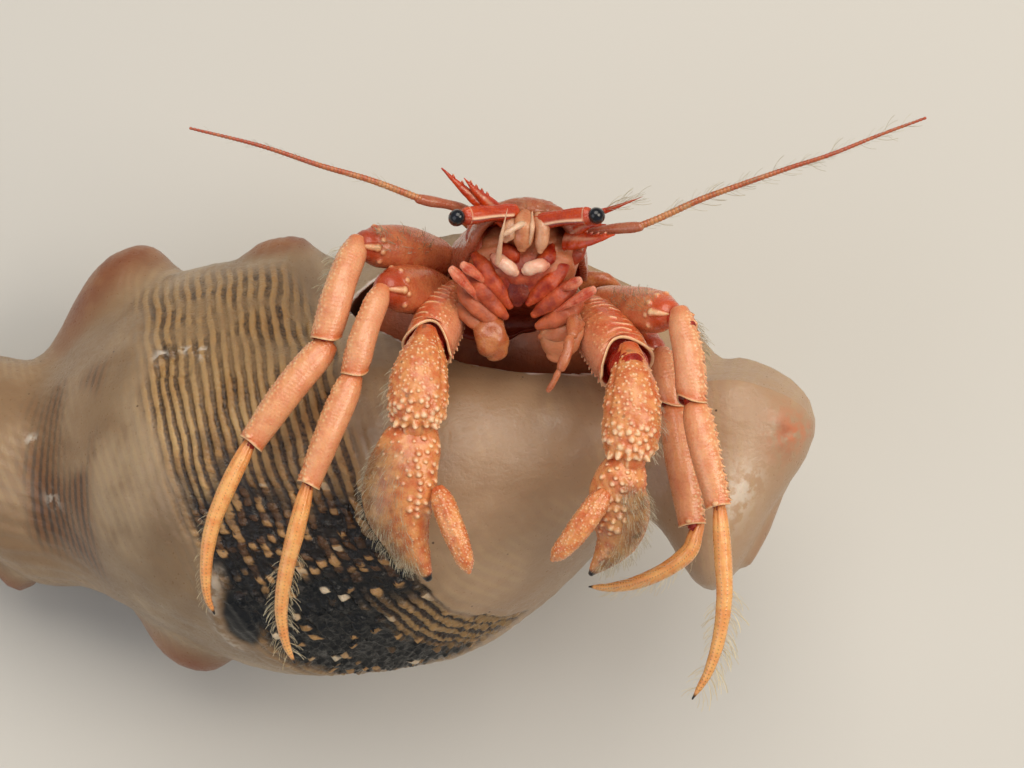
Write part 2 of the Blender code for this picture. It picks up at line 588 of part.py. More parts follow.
def make_face():
    """Eyes, feelers, their scales, and the mouth parts."""
    limb("right_eyestalk", ((17.9, 24.0, 62.6), (15.2, 23.3, 64.5), (12.6, 22.6, 66.0)),
         1.05, 1.1, STALK, "orange_cuticle", sides=12)
    limb("right_eye", ((12.3, 22.5, 66.2), (11.3, 22.2, 66.7), (10.5, 22.0, 67.0)),
         1.08, 1.1, CORNEA, "eye_black", sides=12)
    limb("left_eyestalk", ((21.6, 22.9, 62.6), (24.3, 22.8, 64.5), (26.9, 22.6, 66.0)),
         1.05, 1.1, STALK, "orange_cuticle", sides=12)
    limb("left_eye", ((27.2, 22.6, 66.2), (28.0, 22.5, 66.7), (28.7, 22.4, 67.0)),
         1.08, 1.1, CORNEA, "eye_black", sides=12)
    limb("right_feeler_base", ((12.6, 25.4, 60.6), (10.9, 25.0, 62.4), (7.6, 24.9, 64.4)),
         0.9, 0.9, ROD, "orange_cuticle")
    limb("left_feeler_base", ((27.0, 22.0, 61.0), (29.2, 22.0, 63.0), (32.3, 21.6, 64.6)),
         0.9, 0.9, ROD, "orange_cuticle")
    limb("right_feeler_scale", ((14.6, 26.2, 62.8), (12.2, 26.6, 65.0), (9.9, 26.8, 67.0)),
         0.8, 0.6, SPINE, "orange_cuticle")
    limb("left_feeler_scale", ((25.4, 20.6, 61.8), (26.7, 20.2, 63.4), (28.0, 19.6, 64.4)),
         1.0, 0.6, SPINE, "orange_cuticle")
    limb("right_feeler",
         ((7.1, 25.1, 64.9), (2.0, 26.8, 66.0), (-3.6, 28.2, 67.0), (-10.3, 30.2, 68.0),
          (-18.0, 31.9, 69.0)),
         0.55, 0.55, FLAGELLUM, "golden_cuticle", sides=FEELER_SIDES)
    limb("left_feeler",
         ((32.9, 21.7, 65.0), (34.7, 22.6, 65.2), (39.2, 24.5, 66.0), (43.6, 25.9, 67.0),
          (49.1, 27.6, 68.0), (53.5, 28.8, 69.0), (59.0, 30.8, 70.0), (63.9, 32.4, 71.0)),
         0.55, 0.55, FLAGELLUM, "golden_cuticle", sides=FEELER_SIDES)
    limb("right_inner_feeler", ((17.4, 23.0, 65.4), (16.9, 21.0, 65.0), (16.4, 18.4, 63.4)),
         0.38, 0.38, ROD, "pink_cuticle", sides=FEELER_SIDES)
    limb("left_inner_feeler", ((27.2, 24.3, 62.0), (29.3, 24.3, 63.4), (33.0, 24.7, 65.0)),
         0.42, 0.42, ROD, "orange_cuticle", sides=FEELER_SIDES)
    limb("upper_lip", ((19.5, 23.2, 59.6), (19.6, 21.3, 60.6), (19.7, 19.2, 60.2)),
         2.3, 1.4, PADDLE, "pink_cuticle")
    limb("right_jaw", ((15.9, 19.2, 59.6), (17.3, 18.2, 60.2), (18.9, 17.3, 59.7)),
         0.85, 0.9, ROD, "white_tooth")
    limb("left_jaw", ((19.8, 17.6, 59.7), (21.2, 17.7, 60.2), (22.6, 18.3, 59.6)),
         0.85, 0.9, ROD, "white_tooth")
    limb("right_mouth_leg", ((15.4, 15.2, 53.6), (15.5, 13.2, 56.0), (15.9, 11.0, 56.6),
                             (16.8, 9.0, 55.4)),
         1.7, 1.1, PADDLE, "orange_cuticle")
    limb("left_mouth_leg", ((25.2, 14.6, 54.6), (24.9, 12.2, 58.6), (24.4, 8.9, 60.6),
                            (23.4, 5.9, 60.0), (22.0, 4.2, 59.0)),
         0.95, 0.9, ROD, "orange_cuticle")
    limb("right_mouth_paddle", ((14.0, 16.6, 56.4), (12.6, 17.2, 59.2), (10.9, 17.8, 62.0)),
         0.95, 0.6, PADDLE, "red_membrane")
    limb("left_mouth_paddle", ((23.6, 15.6, 56.6), (25.6, 15.3, 60.0), (27.5, 15.4, 62.0)),
         0.85, 0.6, PADDLE, "red_membrane")


clear_scene()
make_shell()
for growth_name, measures in GROWTHS.items():
    make_growth(growth_name, *measures)
make_trunk()
make_shield()
make_abdomen()
make_legs()
make_claws()
make_small_legs()
make_face()
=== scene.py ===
"""Looks of the hermit crab in its overgrown shell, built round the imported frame.

Shapes are drawn in millimetres in the same room as the solids and moved into the
frame, in metres, when a mesh is made. The crab's right side is at the left here.
"""
import math

import bmesh
import bpy
import numpy as np
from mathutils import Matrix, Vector


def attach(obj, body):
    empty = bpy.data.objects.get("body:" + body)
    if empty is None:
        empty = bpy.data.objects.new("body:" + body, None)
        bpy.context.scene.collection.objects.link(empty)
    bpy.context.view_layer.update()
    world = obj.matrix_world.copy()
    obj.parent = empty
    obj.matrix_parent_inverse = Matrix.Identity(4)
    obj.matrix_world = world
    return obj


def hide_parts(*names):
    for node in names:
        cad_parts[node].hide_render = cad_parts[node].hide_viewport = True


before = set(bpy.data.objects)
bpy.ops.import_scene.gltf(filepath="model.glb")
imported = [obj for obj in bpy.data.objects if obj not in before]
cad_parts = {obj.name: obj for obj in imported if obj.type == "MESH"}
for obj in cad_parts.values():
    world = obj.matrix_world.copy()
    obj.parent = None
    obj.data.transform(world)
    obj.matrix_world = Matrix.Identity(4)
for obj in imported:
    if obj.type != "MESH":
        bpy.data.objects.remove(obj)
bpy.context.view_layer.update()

MM = 0.001
REST_POINT = np.array((-14.0, 4.5, 0.0))   # the drawing's point that is the frame's origin


# ---- the shell's spiral, as in the solids
SHELL_MIDDLE = np.array((-7.0, 0.0, 27.1))
SHELL_TILT = 13.5          # degrees the canal end is raised
SHELL_TURN = 6.0           # degrees the spire swings back
SPIRE_END = -80.0
CANAL_END = 63.0
LIP_ANGLE = -5.0
INNER_LIP_ANGLE = 65.0
LIP_FLARE = 6.0
CANAL_RADIUS = 8.4
CANAL_LOBE = 12.0
CANAL_BEND = 9.5
LID_START = -4.0
LID_FULL = 2.0
SUTURE_FILL = 7.0
# turns back from the outer lip, whorl radius, centre, reach to spire, reach to canal
WHORLS = np.array((
    (0.00, 28.3, 9.0, 46.0, 43.0),
    (0.25, 27.8, 4.0, 42.0, 41.0),
    (0.50, 25.7, -1.0, 34.0, 43.0),
    (0.75, 25.4, -6.0, 30.0, 53.0),
    (1.00, 22.3, -17.0, 26.0, 50.0),
    (1.45, 17.2, -35.0, 13.0, 30.0),
    (2.00, 12.4, -48.0, 14.0, 24.0),
    (2.50, 9.8, -56.5, 12.0, 18.0),
    (3.00, 8.3, -63.0, 10.5, 14.0),
    (3.50, 6.2, -68.0, 8.5, 11.0),
    (4.00, 4.5, -72.0, 7.0, 8.0),
    (4.50, 3.2, -75.5, 5.0, 6.0),
    (5.00, 2.2, -77.5, 4.0, 4.0),
))
# centre along the axis, angle round it, half length, half width, height of the knobs
KNOBS = {
    "growth_back_left": (-30.0, 8.0, 7.2, 7.6, 5.6),
    "growth_back_middle": (-7.0, 12.0, 4.2, 4.5, 0.6),
    "growth_front_left": (-17.5, 197.0, 6.2, 5.6, 3.0),
    "growth_spire": (-43.5, 200.0, 4.0, 4.5, 3.2),
    "growth_canal": (57.0, 195.0, 2.2, 2.2, 1.2),
}
KNOB_FOOT = 1.45           # how far a knob's rim stands off the shell
# place along the axis, angle, distance from it, half length, half height
HOLLOW = (
    (24.6, 28.0, 31.7, 17.4, 14.5),
    (24.2, 21.5, 23.2, 17.3, 13.6),
    (21.5, 13.0, 18.2, 17.5, 11.6),
    (18.4, -8.0, 18.6, 16.6, 10.0),
    (15.5, -30.0, 18.2, 15.0, 9.2),
    (13.0, -54.0, 17.6, 12.5, 8.2),
    (10.0, -78.0, 17.0, 10.0, 6.8),
    (7.5, -98.0, 16.4, 7.0, 5.0),
)


# ---- small tools
def to_row(points):
    """Drawing millimetres to frame metres."""
    return (np.asarray(points, dtype=float) - REST_POINT) * MM


def ease(value):
    """Eases from 0 to 1 as the value goes from 0 to 1."""
    held = np.clip(value, 0.0, 1.0)
    return held * held * (3.0 - 2.0 * held)


def unit(ways):
    """Directions of length one, along the last axis."""
    return ways / np.linalg.norm(ways, axis=-1)[..., None]


def bell(value, centre, spread):
    """A smooth bump of height one."""
    return np.exp(-((value - centre) / spread) ** 2)


def table_curve(at, xs, ys):
    """A smooth curve through a table of values."""
    xs = np.asarray(xs, dtype=float)
    ys = np.asarray(ys, dtype=float)
    slope = np.gradient(ys, xs)
    held = np.clip(at, xs[0], xs[-1])
    span = np.clip(np.searchsorted(xs, held, side="right") - 1, 0, len(xs) - 2)
    width = xs[span + 1] - xs[span]
    t = (held - xs[span]) / width
    low, high = ys[span], ys[span + 1]
    return (
        (2 * t ** 3 - 3 * t ** 2 + 1) * low
        + (t ** 3 - 2 * t ** 2 + t) * width * slope[span]
        + (3 * t ** 2 - 2 * t ** 3) * high
        + (t ** 3 - t ** 2) * width * slope[span + 1]
    )


def table_rows(table, rows):
    """Smooth values of every column of a table, at places counted in rows."""
    return [table_curve(rows, np.arange(len(table)), column) for column in np.array(table).T]


def swing_from(angle, middle):
    """Degrees from a middle to an angle, from -180 to 180."""
    return (angle - middle + 180.0) % 360.0 - 180.0


def scatter_hash(cells, seed):
    """A repeatable value 0..1 for each whole-number cell."""
    cells = cells.astype(np.int64)
    mixed = cells[..., 0] * 73856093 ^ cells[..., 1] * 19349663 ^ cells[..., 2] * 83492791
    mixed = (mixed ^ (seed * 2654435761)) & 0xFFFFFFFF
    mixed = (mixed ^ (mixed >> 15)) * 2246822519 & 0xFFFFFFFF
    mixed = (mixed ^ (mixed >> 13)) * 3266489917 & 0xFFFFFFFF
    return ((mixed ^ (mixed >> 16)) & 0xFFFFFF) / float(0xFFFFFF)


def lumps(points, size, seed):
    """Smooth noise from -1 to 1 whose lumps are about size millimetres."""
    grid = np.asarray(points) / size
    base = np.floor(grid)
    part = ease(grid - base)
    total = np.zeros(grid.shape[:-1])
    for corner in np.ndindex(2, 2, 2):
        step = np.array(corner)
        weight = np.prod(np.where(step == 1, part, 1.0 - part), axis=-1)
        total += weight * scatter_hash(base + step, seed)
    return 2.0 * total - 1.0


# ---- shell surface
def whorl_reach(place, angle):
    """How far the coiled wall stands off the axis, without the open mouth."""
    place, angle = np.broadcast_arrays(np.asarray(place, float), np.asarray(angle, float))
    turned = (angle - LIP_ANGLE) % 360.0
    total = np.zeros(place.shape)
    for pass_number in range(6):
        back = 1.0 - turned / 360.0 + pass_number
        radius, centre, to_spire, to_canal = (
            table_curve(back, WHORLS[:, 0], WHORLS[:, column]) for column in range(1, 5)
        )
        sharpness = np.where(back < 0.25, 2.4, 1.5)
        off = np.maximum(centre - place, 0.0) / to_spire
        spire_fall = np.maximum(0.0, 1.0 - off ** sharpness) ** 0.42
        off = np.maximum(place - centre, 0.0) / to_canal
        canal_fall = np.maximum(0.0, 1.0 - off ** 1.8) ** 0.5
        fall = np.where(place < centre, spire_fall, canal_fall)
        total += np.where(back <= WHORLS[-1, 0], (radius * fall) ** SUTURE_FILL, 0.0)
    swing = angle % 360.0 - 180.0
    canal = CANAL_RADIUS + CANAL_LOBE * bell(place, 52.0, 6.5) * bell(swing, 0.0, 38.0)
    total += (canal * np.clip((place - 20.0) / 14.0, 0.0, 1.0)) ** SUTURE_FILL
    reach = total ** (1.0 / SUTURE_FILL)
    flare = LIP_FLARE * bell(place, 19.0, 15.0) * bell(turned, 360.0, 26.0)
    return reach + np.where(turned > 300.0, flare, 0.0)


def end_taper(place):
    """Rounds off the spire tip and the canal end."""
    canal = np.clip((place - CANAL_END + 11.0) / 11.0, 0.0, 1.0)
    spire = np.clip((SPIRE_END + 4.0 - place) / 4.0, 0.0, 1.0)
    return np.sqrt(np.maximum(0.0, 1.0 - canal ** 2)) * np.sqrt(np.maximum(0.0, 1.0 - spire ** 2))


def shell_reach(place, angle):
    """Distance from the axis to the shell's outer face, the mouth closed by a lid."""
    place, angle = np.broadcast_arrays(np.asarray(place, float), np.asarray(angle, float))
    turned = (angle - LIP_ANGLE) % 360.0
    opening = INNER_LIP_ANGLE - LIP_ANGLE
    outer = whorl_reach(place, LIP_ANGLE - 0.01)
    inner = whorl_reach(place, INNER_LIP_ANGLE)
    past = np.radians(np.minimum(turned, opening))
    left = np.radians(opening) - past
    lid = outer * inner * math.sin(math.radians(opening))
    lid = lid / (outer * np.sin(past) + inner * np.sin(left))
    wall = outer + (inner - outer) * ease(turned / opening)
    open_share = ease((place - LID_START) / (LID_FULL - LID_START))
    mouth = wall + (lid - wall) * open_share
    return np.where(turned >= opening, whorl_reach(place, angle), mouth) * end_taper(place)


def shell_frame():
    """Directions along the shell's axis, across it to the back, and up from it."""
    tilt = math.radians(SHELL_TILT)
    turn = math.radians(SHELL_TURN)
    level = np.array((math.cos(turn), -math.sin(turn), 0.0))
    back = np.array((math.sin(turn), math.cos(turn), 0.0))
    axis = level * math.cos(tilt) + np.array((0.0, 0.0, math.sin(tilt)))
    return axis, back, np.cross(axis, back)


def shell_point(place, angle, reach):
    """Points of the room from place along, angle round and reach off the axis."""
    axis, back, upright = shell_frame()
    place = np.asarray(place, float)
    turn = np.radians(angle)
    shift = CANAL_BEND * ease((place - 15.0) / 40.0)
    return (
        SHELL_MIDDLE
        + axis * place[..., None]
        + back * (shift + reach * np.cos(turn))[..., None]
        + upright * (reach * np.sin(turn))[..., None]
    )


def shell_place(points):
    """Place along, angle round and reach off the axis of points of the room."""
    axis, back, upright = shell_frame()
    rel = points - SHELL_MIDDLE
    place = rel @ axis
    across = rel @ back - CANAL_BEND * ease((place - 15.0) / 40.0)
    up = rel @ upright
    return place, np.degrees(np.arctan2(up, across)) % 360.0, np.hypot(across, up)


# ---- zones of the shell's surface
CORD_DRIFT = 0.17          # mm the shell's cords move toward the canal for each degree
CORD_PITCH = 1.45          # mm from cord to cord
BLOCK_LENGTH = 1.05        # mm of a cord's short blocks where it is broken
RIB_PITCH = 1.15           # mm from rib to rib on the spire
WINDOW_START = -13.5       # the bare strip of skin, measured across the cords
WINDOW_END = 12.8
WINDOW_TOP = 24.0          # degrees round the axis where the bare strip begins
WINDOW_FOOT = 196.0
FINE_STEP = 0.22           # mm between stations inside the bare strip
PLAIN_STEP = 0.84
FINE_TURN = 0.33           # mm between columns inside the bare strip
PLAIN_TURN = 1.25
SHELL_GIRTH = 28.0         # mm, the radius on which the columns are counted


def drift(angle):
    """How far the cords have moved along the axis at an angle round it."""
    turned = angle % 360.0
    rise = CORD_DRIFT * (np.clip(turned, 25.0, 185.0) - 90.0)
    back = ease((turned - 185.0) / 175.0)
    low, high = CORD_DRIFT * (25.0 - 90.0), CORD_DRIFT * (185.0 - 90.0)
    return np.where(turned > 185.0, high + (low - high) * back, rise)


def drift_share(cord):
    """The drift dies out toward both ends of the shell."""
    return ease((cord + 78.0) / 60.0) * ease((61.0 - cord) / 45.0)


def cord_of(place, angle):
    """The coordinate across the cords, found from the place along the axis."""
    cord = np.array(place, dtype=float)
    for _ in range(12):        # the last round moves it by less than 0.005 mm
        cord = place - drift(angle) * drift_share(cord)
    return cord


def spread_steps(start, end, fine_start, fine_end, fine, plain):
    """Steps that are fine inside a stretch and plain outside it."""
    marks = [start]
    while marks[-1] < end:
        here = marks[-1]
        near = ease((here - fine_start + 2.0) / 2.0)
        near = near * ease((fine_end + 2.0 - here) / 2.0)
        marks.append(here + plain + (fine - plain) * near)
    marks = np.array(marks)
    return start + (marks - start) * (end - start) / (marks[-1] - start)


def zone(cord, place, angle, points):
    """Shares of each kind of surface on the shell, and of the painted highlights kept with the
    chalk.
    """
    wobble = 1.3 * lumps(points, 5.0, 11) + 0.6 * lumps(points, 1.8, 12)
    across = cord + wobble
    turned = angle + 3.0 * wobble
    strip = ease((across - WINDOW_START) / 3.6)
    strip = strip * ease((WINDOW_END - across) / 2.0)
    bare = strip * ease((turned - WINDOW_TOP) / 16.0)
    bare = bare * ease((WINDOW_FOOT - turned) / 10.0)
    ragged = 9.0 * lumps(points, 3.0, 13)
    grain = ease((turned + ragged - 88.0) / 26.0)
    grain = np.maximum(grain, 0.75 * ease((lumps(points, 4.0, 14) - 0.25) / 0.25)
                       * ease((turned - 50.0) / 20.0))
    black = bare * ease((turned + ragged - 122.0) / 14.0)
    black = black * ease((across + 13.0) / 3.0)
    gold = ease((across - 4.0) / 4.0) * ease((turned - 132.0) / 14.0)
    # a shallow black hollow with a pale bank on the spire's side
    pit_out = np.hypot((place + 2.2) / 2.4, (angle - 146.0) / 11.0) + 0.12 * lumps(points, 1.5, 15)
    pit = ease((1.15 - pit_out) / 0.35)
    bank = bell(pit_out, 1.45, 0.28) * ease((-2.6 - place) / 2.0)
    # a worn notch with chalky edges near the suture
    notch_out = np.maximum(np.abs(place + 11.3) / 2.6, np.abs(angle - 70.5) / 4.2)
    notch_out = notch_out + 0.10 * lumps(points, 1.2, 16)
    notch = ease((1.1 - notch_out) / 0.3)
    edge = 0.6 * bell(notch_out, 1.25, 0.2) * ease((70.5 - angle) / 4.0)
    # painted highlights: two pale wet glints on the spire and a pale sheen near the canal end, kept
    # in the same pale mark as the chalky notch edges and the pale bank
    glints = bell(place, -33.6, 0.9) * bell(angle, 92.0, 3.0)
    glints = glints + bell(place, -29.5, 1.2) * bell(angle, 121.0, 4.0)
    sheen = bell(place, 55.5, 2.2) * bell(angle, 145.0, 12.0)
    return {
        "bare": bare * (1.0 - bank), "grain": grain * bare, "black": black * (1.0 - 0.85 * gold),
        "gold": gold * bare, "pit": pit, "bank": bank, "notch": notch,
        "chalk_and_glint": np.maximum.reduce((edge, 0.55 * bank, 0.9 * glints, 0.8 * sheen)),
        "haze": bare * (1.0 - ease((turned - 52.0) / 52.0)),
    }


def sway(points):
    """How far the cords wander off their even course, in millimetres."""
    return 0.36 * lumps(points, 3.6, 4)


def blocks(cord, angle, points):
    """Cords broken into short blocks: how far up its block a point is, and the block's lot."""
    shifted = cord + sway(points) + 0.26 * lumps(points, 1.2, 34)
    row = np.floor(shifted / CORD_PITCH + 0.5)
    spot = np.stack((row, 0.0 * row, 0.0 * row), axis=-1)
    run = np.radians(angle) * 27.0 / BLOCK_LENGTH + 7.3 * scatter_hash(spot, 18)
    run = run + 0.9 * lumps(points, 2.2, 19) + 0.3 * lumps(points, 0.9, 35)
    column = np.floor(run)
    lot = scatter_hash(np.stack((row, column, 0.0 * row), axis=-1), 20)
    across = np.clip(0.5 + 0.5 * np.cos(2.0 * math.pi * shifted / CORD_PITCH), 0.0, 1.0)
    along = np.sin(math.pi * (run - column))
    return across ** 0.7 * np.clip(along, 0.0, 1.0) ** 0.6, lot


def knob_rise(place, angle):
    """How far the soft knobs stand out of the cover."""
    rise = np.zeros(np.shape(place))
    for middle, turn, half_length, half_width, height in KNOBS.values():
        reach = float(shell_reach(middle, turn))
        along_share = (place - middle) / half_length
        across_share = np.radians(swing_from(angle, turn)) * reach / half_width
        out = np.hypot(along_share, across_share)
        rise = np.maximum(rise, (KNOB_FOOT + height) * np.exp(-(out / 0.97) ** 3.6))
    return rise


# ---- meshes
def stand(name, data):
    """An object at the origin that carries the given data."""
    made = bpy.data.objects.new(name, data)
    bpy.context.scene.collection.objects.link(made)
    return made


def press(made):
    """Turn what an object's modifiers show into its own plain mesh."""
    ready = made.evaluated_get(bpy.context.evaluated_depsgraph_get())
    mesh = bpy.data.meshes.new_from_object(ready)
    made.modifiers.clear()
    made.data = mesh
    return mesh


def mesh_object(name, points, faces, marks=None):
    """A mesh object at the origin from drawing points, with values kept at its points."""
    mesh = bpy.data.meshes.new(name)
    mesh.from_pydata(to_row(points).tolist(), [], faces)
    for mark, values in (marks or {}).items():
        keep_mark(mesh, mark, values)
    mesh.polygons.foreach_set("use_smooth", np.ones(len(mesh.polygons), dtype=bool))
    return stand(name, mesh)


def keep_mark(mesh, mark, values):
    """Store one number for each point of a mesh under a name that a finish reads."""
    layer = mesh.attributes.get(mark) or mesh.attributes.new(mark, "FLOAT", "POINT")
    layer.data.foreach_set("value", np.asarray(values, dtype=np.float32).ravel())


def mesh_points(mesh):
    """A mesh's points back in drawing millimetres."""
    flat = np.empty(len(mesh.vertices) * 3)
    mesh.vertices.foreach_get("co", flat)
    return flat.reshape(-1, 3) / MM + REST_POINT


def tube_faces(rings, sides, first):
    """Faces that join rings of equal count."""
    faces = []
    for ring in range(rings - 1):
        low = first + ring * sides
        for side in range(sides):
            after = (side + 1) % sides
            faces.append((low + side, low + after, low + sides + after, low + sides + side))
    return faces


def fan_faces(hub, start, sides, turned):
    """A fan from a hub point to a ring."""
    faces = []
    for side in range(sides):
        after = (side + 1) % sides
        edge = (start + after, start + side) if turned else (start + side, start + after)
        faces.append((hub,) + edge)
    return faces


def tube_object(name, grid, marks=None):
    """A closed mesh from a grid of rings, shaped (rings, sides, 3)."""
    return join_tubes(name, (grid,), marks and (marks,))


def join_tubes(name, grids, marks=None):
    """One mesh of several closed tubes."""
    points, faces = [], []
    first = 0
    kept = {mark: [] for mark in (marks or [{}])[0]}
    for index, grid in enumerate(grids):
        rings, sides = grid.shape[:2]
        count = rings * sides
        points.append(grid.reshape(-1, 3))
        points.append(np.array((grid[0].mean(axis=0), grid[-1].mean(axis=0))))
        faces += tube_faces(rings, sides, first)
        faces += fan_faces(first + count, first, sides, True)
        faces += fan_faces(first + count + 1, first + count - sides, sides, False)
        for mark in kept:
            values = np.broadcast_to(marks[index][mark], (rings, sides))
            kept[mark].append(values.ravel())
            kept[mark].append(np.array((values[0].mean(), values[-1].mean())))
        first += count + 2
    made = mesh_object(name, np.vstack(points), faces,
                       {mark: np.concatenate(values) for mark, values in kept.items()})
    face_out(made.data)
    return made


def face_out(mesh):
    """Turn every face of a closed mesh outward."""
    work = bmesh.new()
    work.from_mesh(mesh)
    bmesh.ops.recalc_face_normals(work, faces=work.faces)
    work.to_mesh(mesh)
    work.free()


def settle(made, finish, slot, *nodes):
    """Give a finished piece its material and its body, and hide the nodes it stands for. The slot
    is not used.
    """
    made.data.materials.clear()
    made.data.materials.append(finish)
    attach(made, "root")
    if nodes:
        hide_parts(*nodes)
    return made


# ---- the shell
HOLLOW_RINGS = 44
HOLLOW_SIDES = 112


def hollow_grid(inset, first, last):
    """Smooth oval cross sections along the hollow that curls down into the shell."""
    rows = np.linspace(first, last, HOLLOW_RINGS)
    place, angle, distance, half_length, half_height = table_rows(HOLLOW, rows)
    centres = shell_point(place, angle, distance)
    axis = shell_frame()[0]
    course = unit(np.gradient(centres, axis=0))
    lengthwise = unit(axis - course * (course @ axis)[:, None])
    across = np.cross(course, lengthwise)
    turn = np.linspace(0.0, 2.0 * math.pi, HOLLOW_SIDES, endpoint=False)
    wide = (half_length - inset)[:, None, None] * np.cos(turn)[None, :, None]
    high = (half_height - inset)[:, None, None] * np.sin(turn)[None, :, None]
    return centres[:, None, :] + lengthwise[:, None, :] * wide + across[:, None, :] * high


def mouth_rim():
    """The closed line where the hollow breaks through the shell's outer face."""
    grid = hollow_grid(0.0, 0.0, 3.0)
    place, angle, reach = shell_place(grid)
    under = reach < shell_reach(place, angle)
    first = np.argmax(under, axis=0)
    return grid[first, np.arange(grid.shape[1])]


def distance_to(points, line):
    """Least distance from each point to a set of points."""
    best = np.full(len(points), 1e9)
    for spot in line:
        best = np.minimum(best, ((points - spot) ** 2).sum(axis=1))
    return np.sqrt(best)


def shell_skin():
    """The whole outer face with its knobs, its bare corded strip and its open mouth."""
    cords = spread_steps(SPIRE_END + 0.1, CANAL_END - 0.1, -15.0, 14.5, FINE_STEP, PLAIN_STEP)
    round_mm, fine_start, fine_end = (math.radians(degrees) * SHELL_GIRTH
                                      for degrees in (360.0, 29.0, 201.0))
    columns = spread_steps(0.0, round_mm, fine_start, fine_end, FINE_TURN, PLAIN_TURN)[:-1]
    angles = np.degrees(columns / SHELL_GIRTH) + LIP_ANGLE
    cord, angle = np.meshgrid(cords, angles, indexing="ij")
    place = cord + drift(angle) * drift_share(cord)
    reach = shell_reach(place, angle)
    points = shell_point(place, angle, reach)
    shares = zone(cord, place, angle, points)
    bare, grain, black = shares["bare"], shares["grain"], shares["black"]
    soft = 1.0 - bare
    taper = end_taper(place)
    # the cover's own lumps and dimples
    rise = soft * (0.34 * lumps(points, 7.5, 1) + 0.13 * lumps(points, 2.6, 2))
    rise += soft * 0.05 * lumps(points, 0.9, 3)
    # cords: low under the cover, sharp where the cover is worn away, then broken into blocks
    wave = np.cos(2.0 * math.pi * (cord + sway(points)) / CORD_PITCH)
    ridge = 1.0 - 2.0 * np.abs(0.5 - 0.5 * wave) ** 1.6
    beads = 0.5 + 0.5 * lumps(points * np.array((0.7, 1.0, 1.0)), 0.85, 5)
    strong = 0.45 + 0.55 * ease(lumps(points, 5.0, 17) + 0.6)
    crown, lot = blocks(cord, angle, points)
    rise += bare * (1.0 - grain) * 0.20 * ridge * strong * (0.6 + 0.7 * beads)
    rise += grain * (0.62 * crown * (0.25 + lot) - 0.34 + 0.14 * lumps(points, 0.6, 6))
    rise += black * (0.18 * lumps(points, 1.9, 8) - 0.12)
    rise += soft * 0.03 * ridge * ease((cord + 30.0) / 20.0)
    rise += ease((-24.0 - place) / 6.0) * 0.06 * np.cos(2.0 * math.pi * place / RIB_PITCH)
    rise -= bare * 0.30 + 0.2 * shares["pit"] + 0.45 * shares["notch"]
    rise += 0.35 * shares["bank"]
    rise += knob_rise(place, angle)
    # puckered scar at the canal end
    scar = bell(place, 60.6, 1.6) * bell(angle, 112.0, 26.0)
    rise += 0.5 * scar * lumps(points, 1.4, 10)
    points = shell_point(place, angle, reach + rise * np.minimum(1.0, taper * 1.5))
    made = tube_object("shell_cover", points)
    cutter = tube_object("hollow_cutter", hollow_grid(0.0, 0.0, len(HOLLOW) - 1.0))
    carve = made.modifiers.new("hollow", "BOOLEAN")
    carve.operation = "DIFFERENCE"
    carve.solver = "MANIFOLD"
    carve.object = cutter
    carved = press(made)
    bpy.data.objects.remove(cutter)
    rest_flat(carved)
    rim = mouth_rim()
    round_lip(carved, rim)
    mark_shell(carved, rim)
    carved.polygons.foreach_set("use_smooth", np.ones(len(carved.polygons), dtype=bool))
    return made


def rest_flat(mesh):
    """Flatten what would go below the floor."""
    flat = np.empty(len(mesh.vertices) * 3)
    mesh.vertices.foreach_get("co", flat)
    flat[2::3] = np.maximum(flat[2::3], 0.0)
    mesh.vertices.foreach_set("co", flat)


def round_lip(mesh, rim):
    """Round the sharp edge of the mouth."""
    near = distance_to(mesh_points(mesh), rim) < 1.3
    work = bmesh.new()
    work.from_mesh(mesh)
    work.verts.ensure_lookup_table()
    chosen = [work.verts[index] for index in np.nonzero(near)[0]]
    for _ in range(5):
        bmesh.ops.smooth_vert(work, verts=chosen, factor=0.5, use_axis_x=True,
                              use_axis_y=True, use_axis_z=True)
    work.to_mesh(mesh)
    work.free()


def mark_shell(mesh, rim):
    """Keep the zones that the shell's finish reads."""
    points = mesh_points(mesh)
    place, angle, reach = shell_place(points)
    held = np.clip(place, SPIRE_END, CANAL_END)
    cord = cord_of(held, angle)
    shares = zone(cord, held, angle, points)
    crown, lot = blocks(cord, angle, points)
    outer = shell_reach(held, angle)
    depth = outer - reach
    inside = ease((depth - 0.9) / 0.7)
    outside = 1.0 - inside
    rust = np.zeros(len(points))
    for name, (middle, turn, half_length, half_width, height) in KNOBS.items():
        across = np.radians(swing_from(angle, turn)) * outer / half_width
        out = np.hypot((place - middle) / half_length, across)
        strength = 0.35 if name == "growth_canal" else 1.0
        rust = np.maximum(rust, strength * ease((1.35 - out) / 0.7))
    scar = bell(place, 60.8, 2.2) * bell(angle, 110.0, 30.0)
    spire = ease((-20.5 - place) / 3.0) * ease((place + 37.0) / 4.0)
    spire = spire * ease((angle - 52.0) / 26.0) * ease((162.0 - angle) / 26.0)
    spire = spire * ease((lumps(points, 5.0, 33) + 0.55) / 0.8)
    marks = {name: shares[name] * outside
             for name in ("bare", "grain", "black", "gold", "pit", "chalk_and_glint", "haze")}
    marks.update(cord=cord + sway(points), place=place, lot=lot, crown=crown, inside=inside,
                 spire=0.85 * spire * outside, rust=0.85 * rust * outside, scar=scar * outside,
                 depth=np.maximum(depth, 0.0), lip=bell(distance_to(points, rim), 0.0, 0.55))
    for name, values in marks.items():
        keep_mark(mesh, name, values)


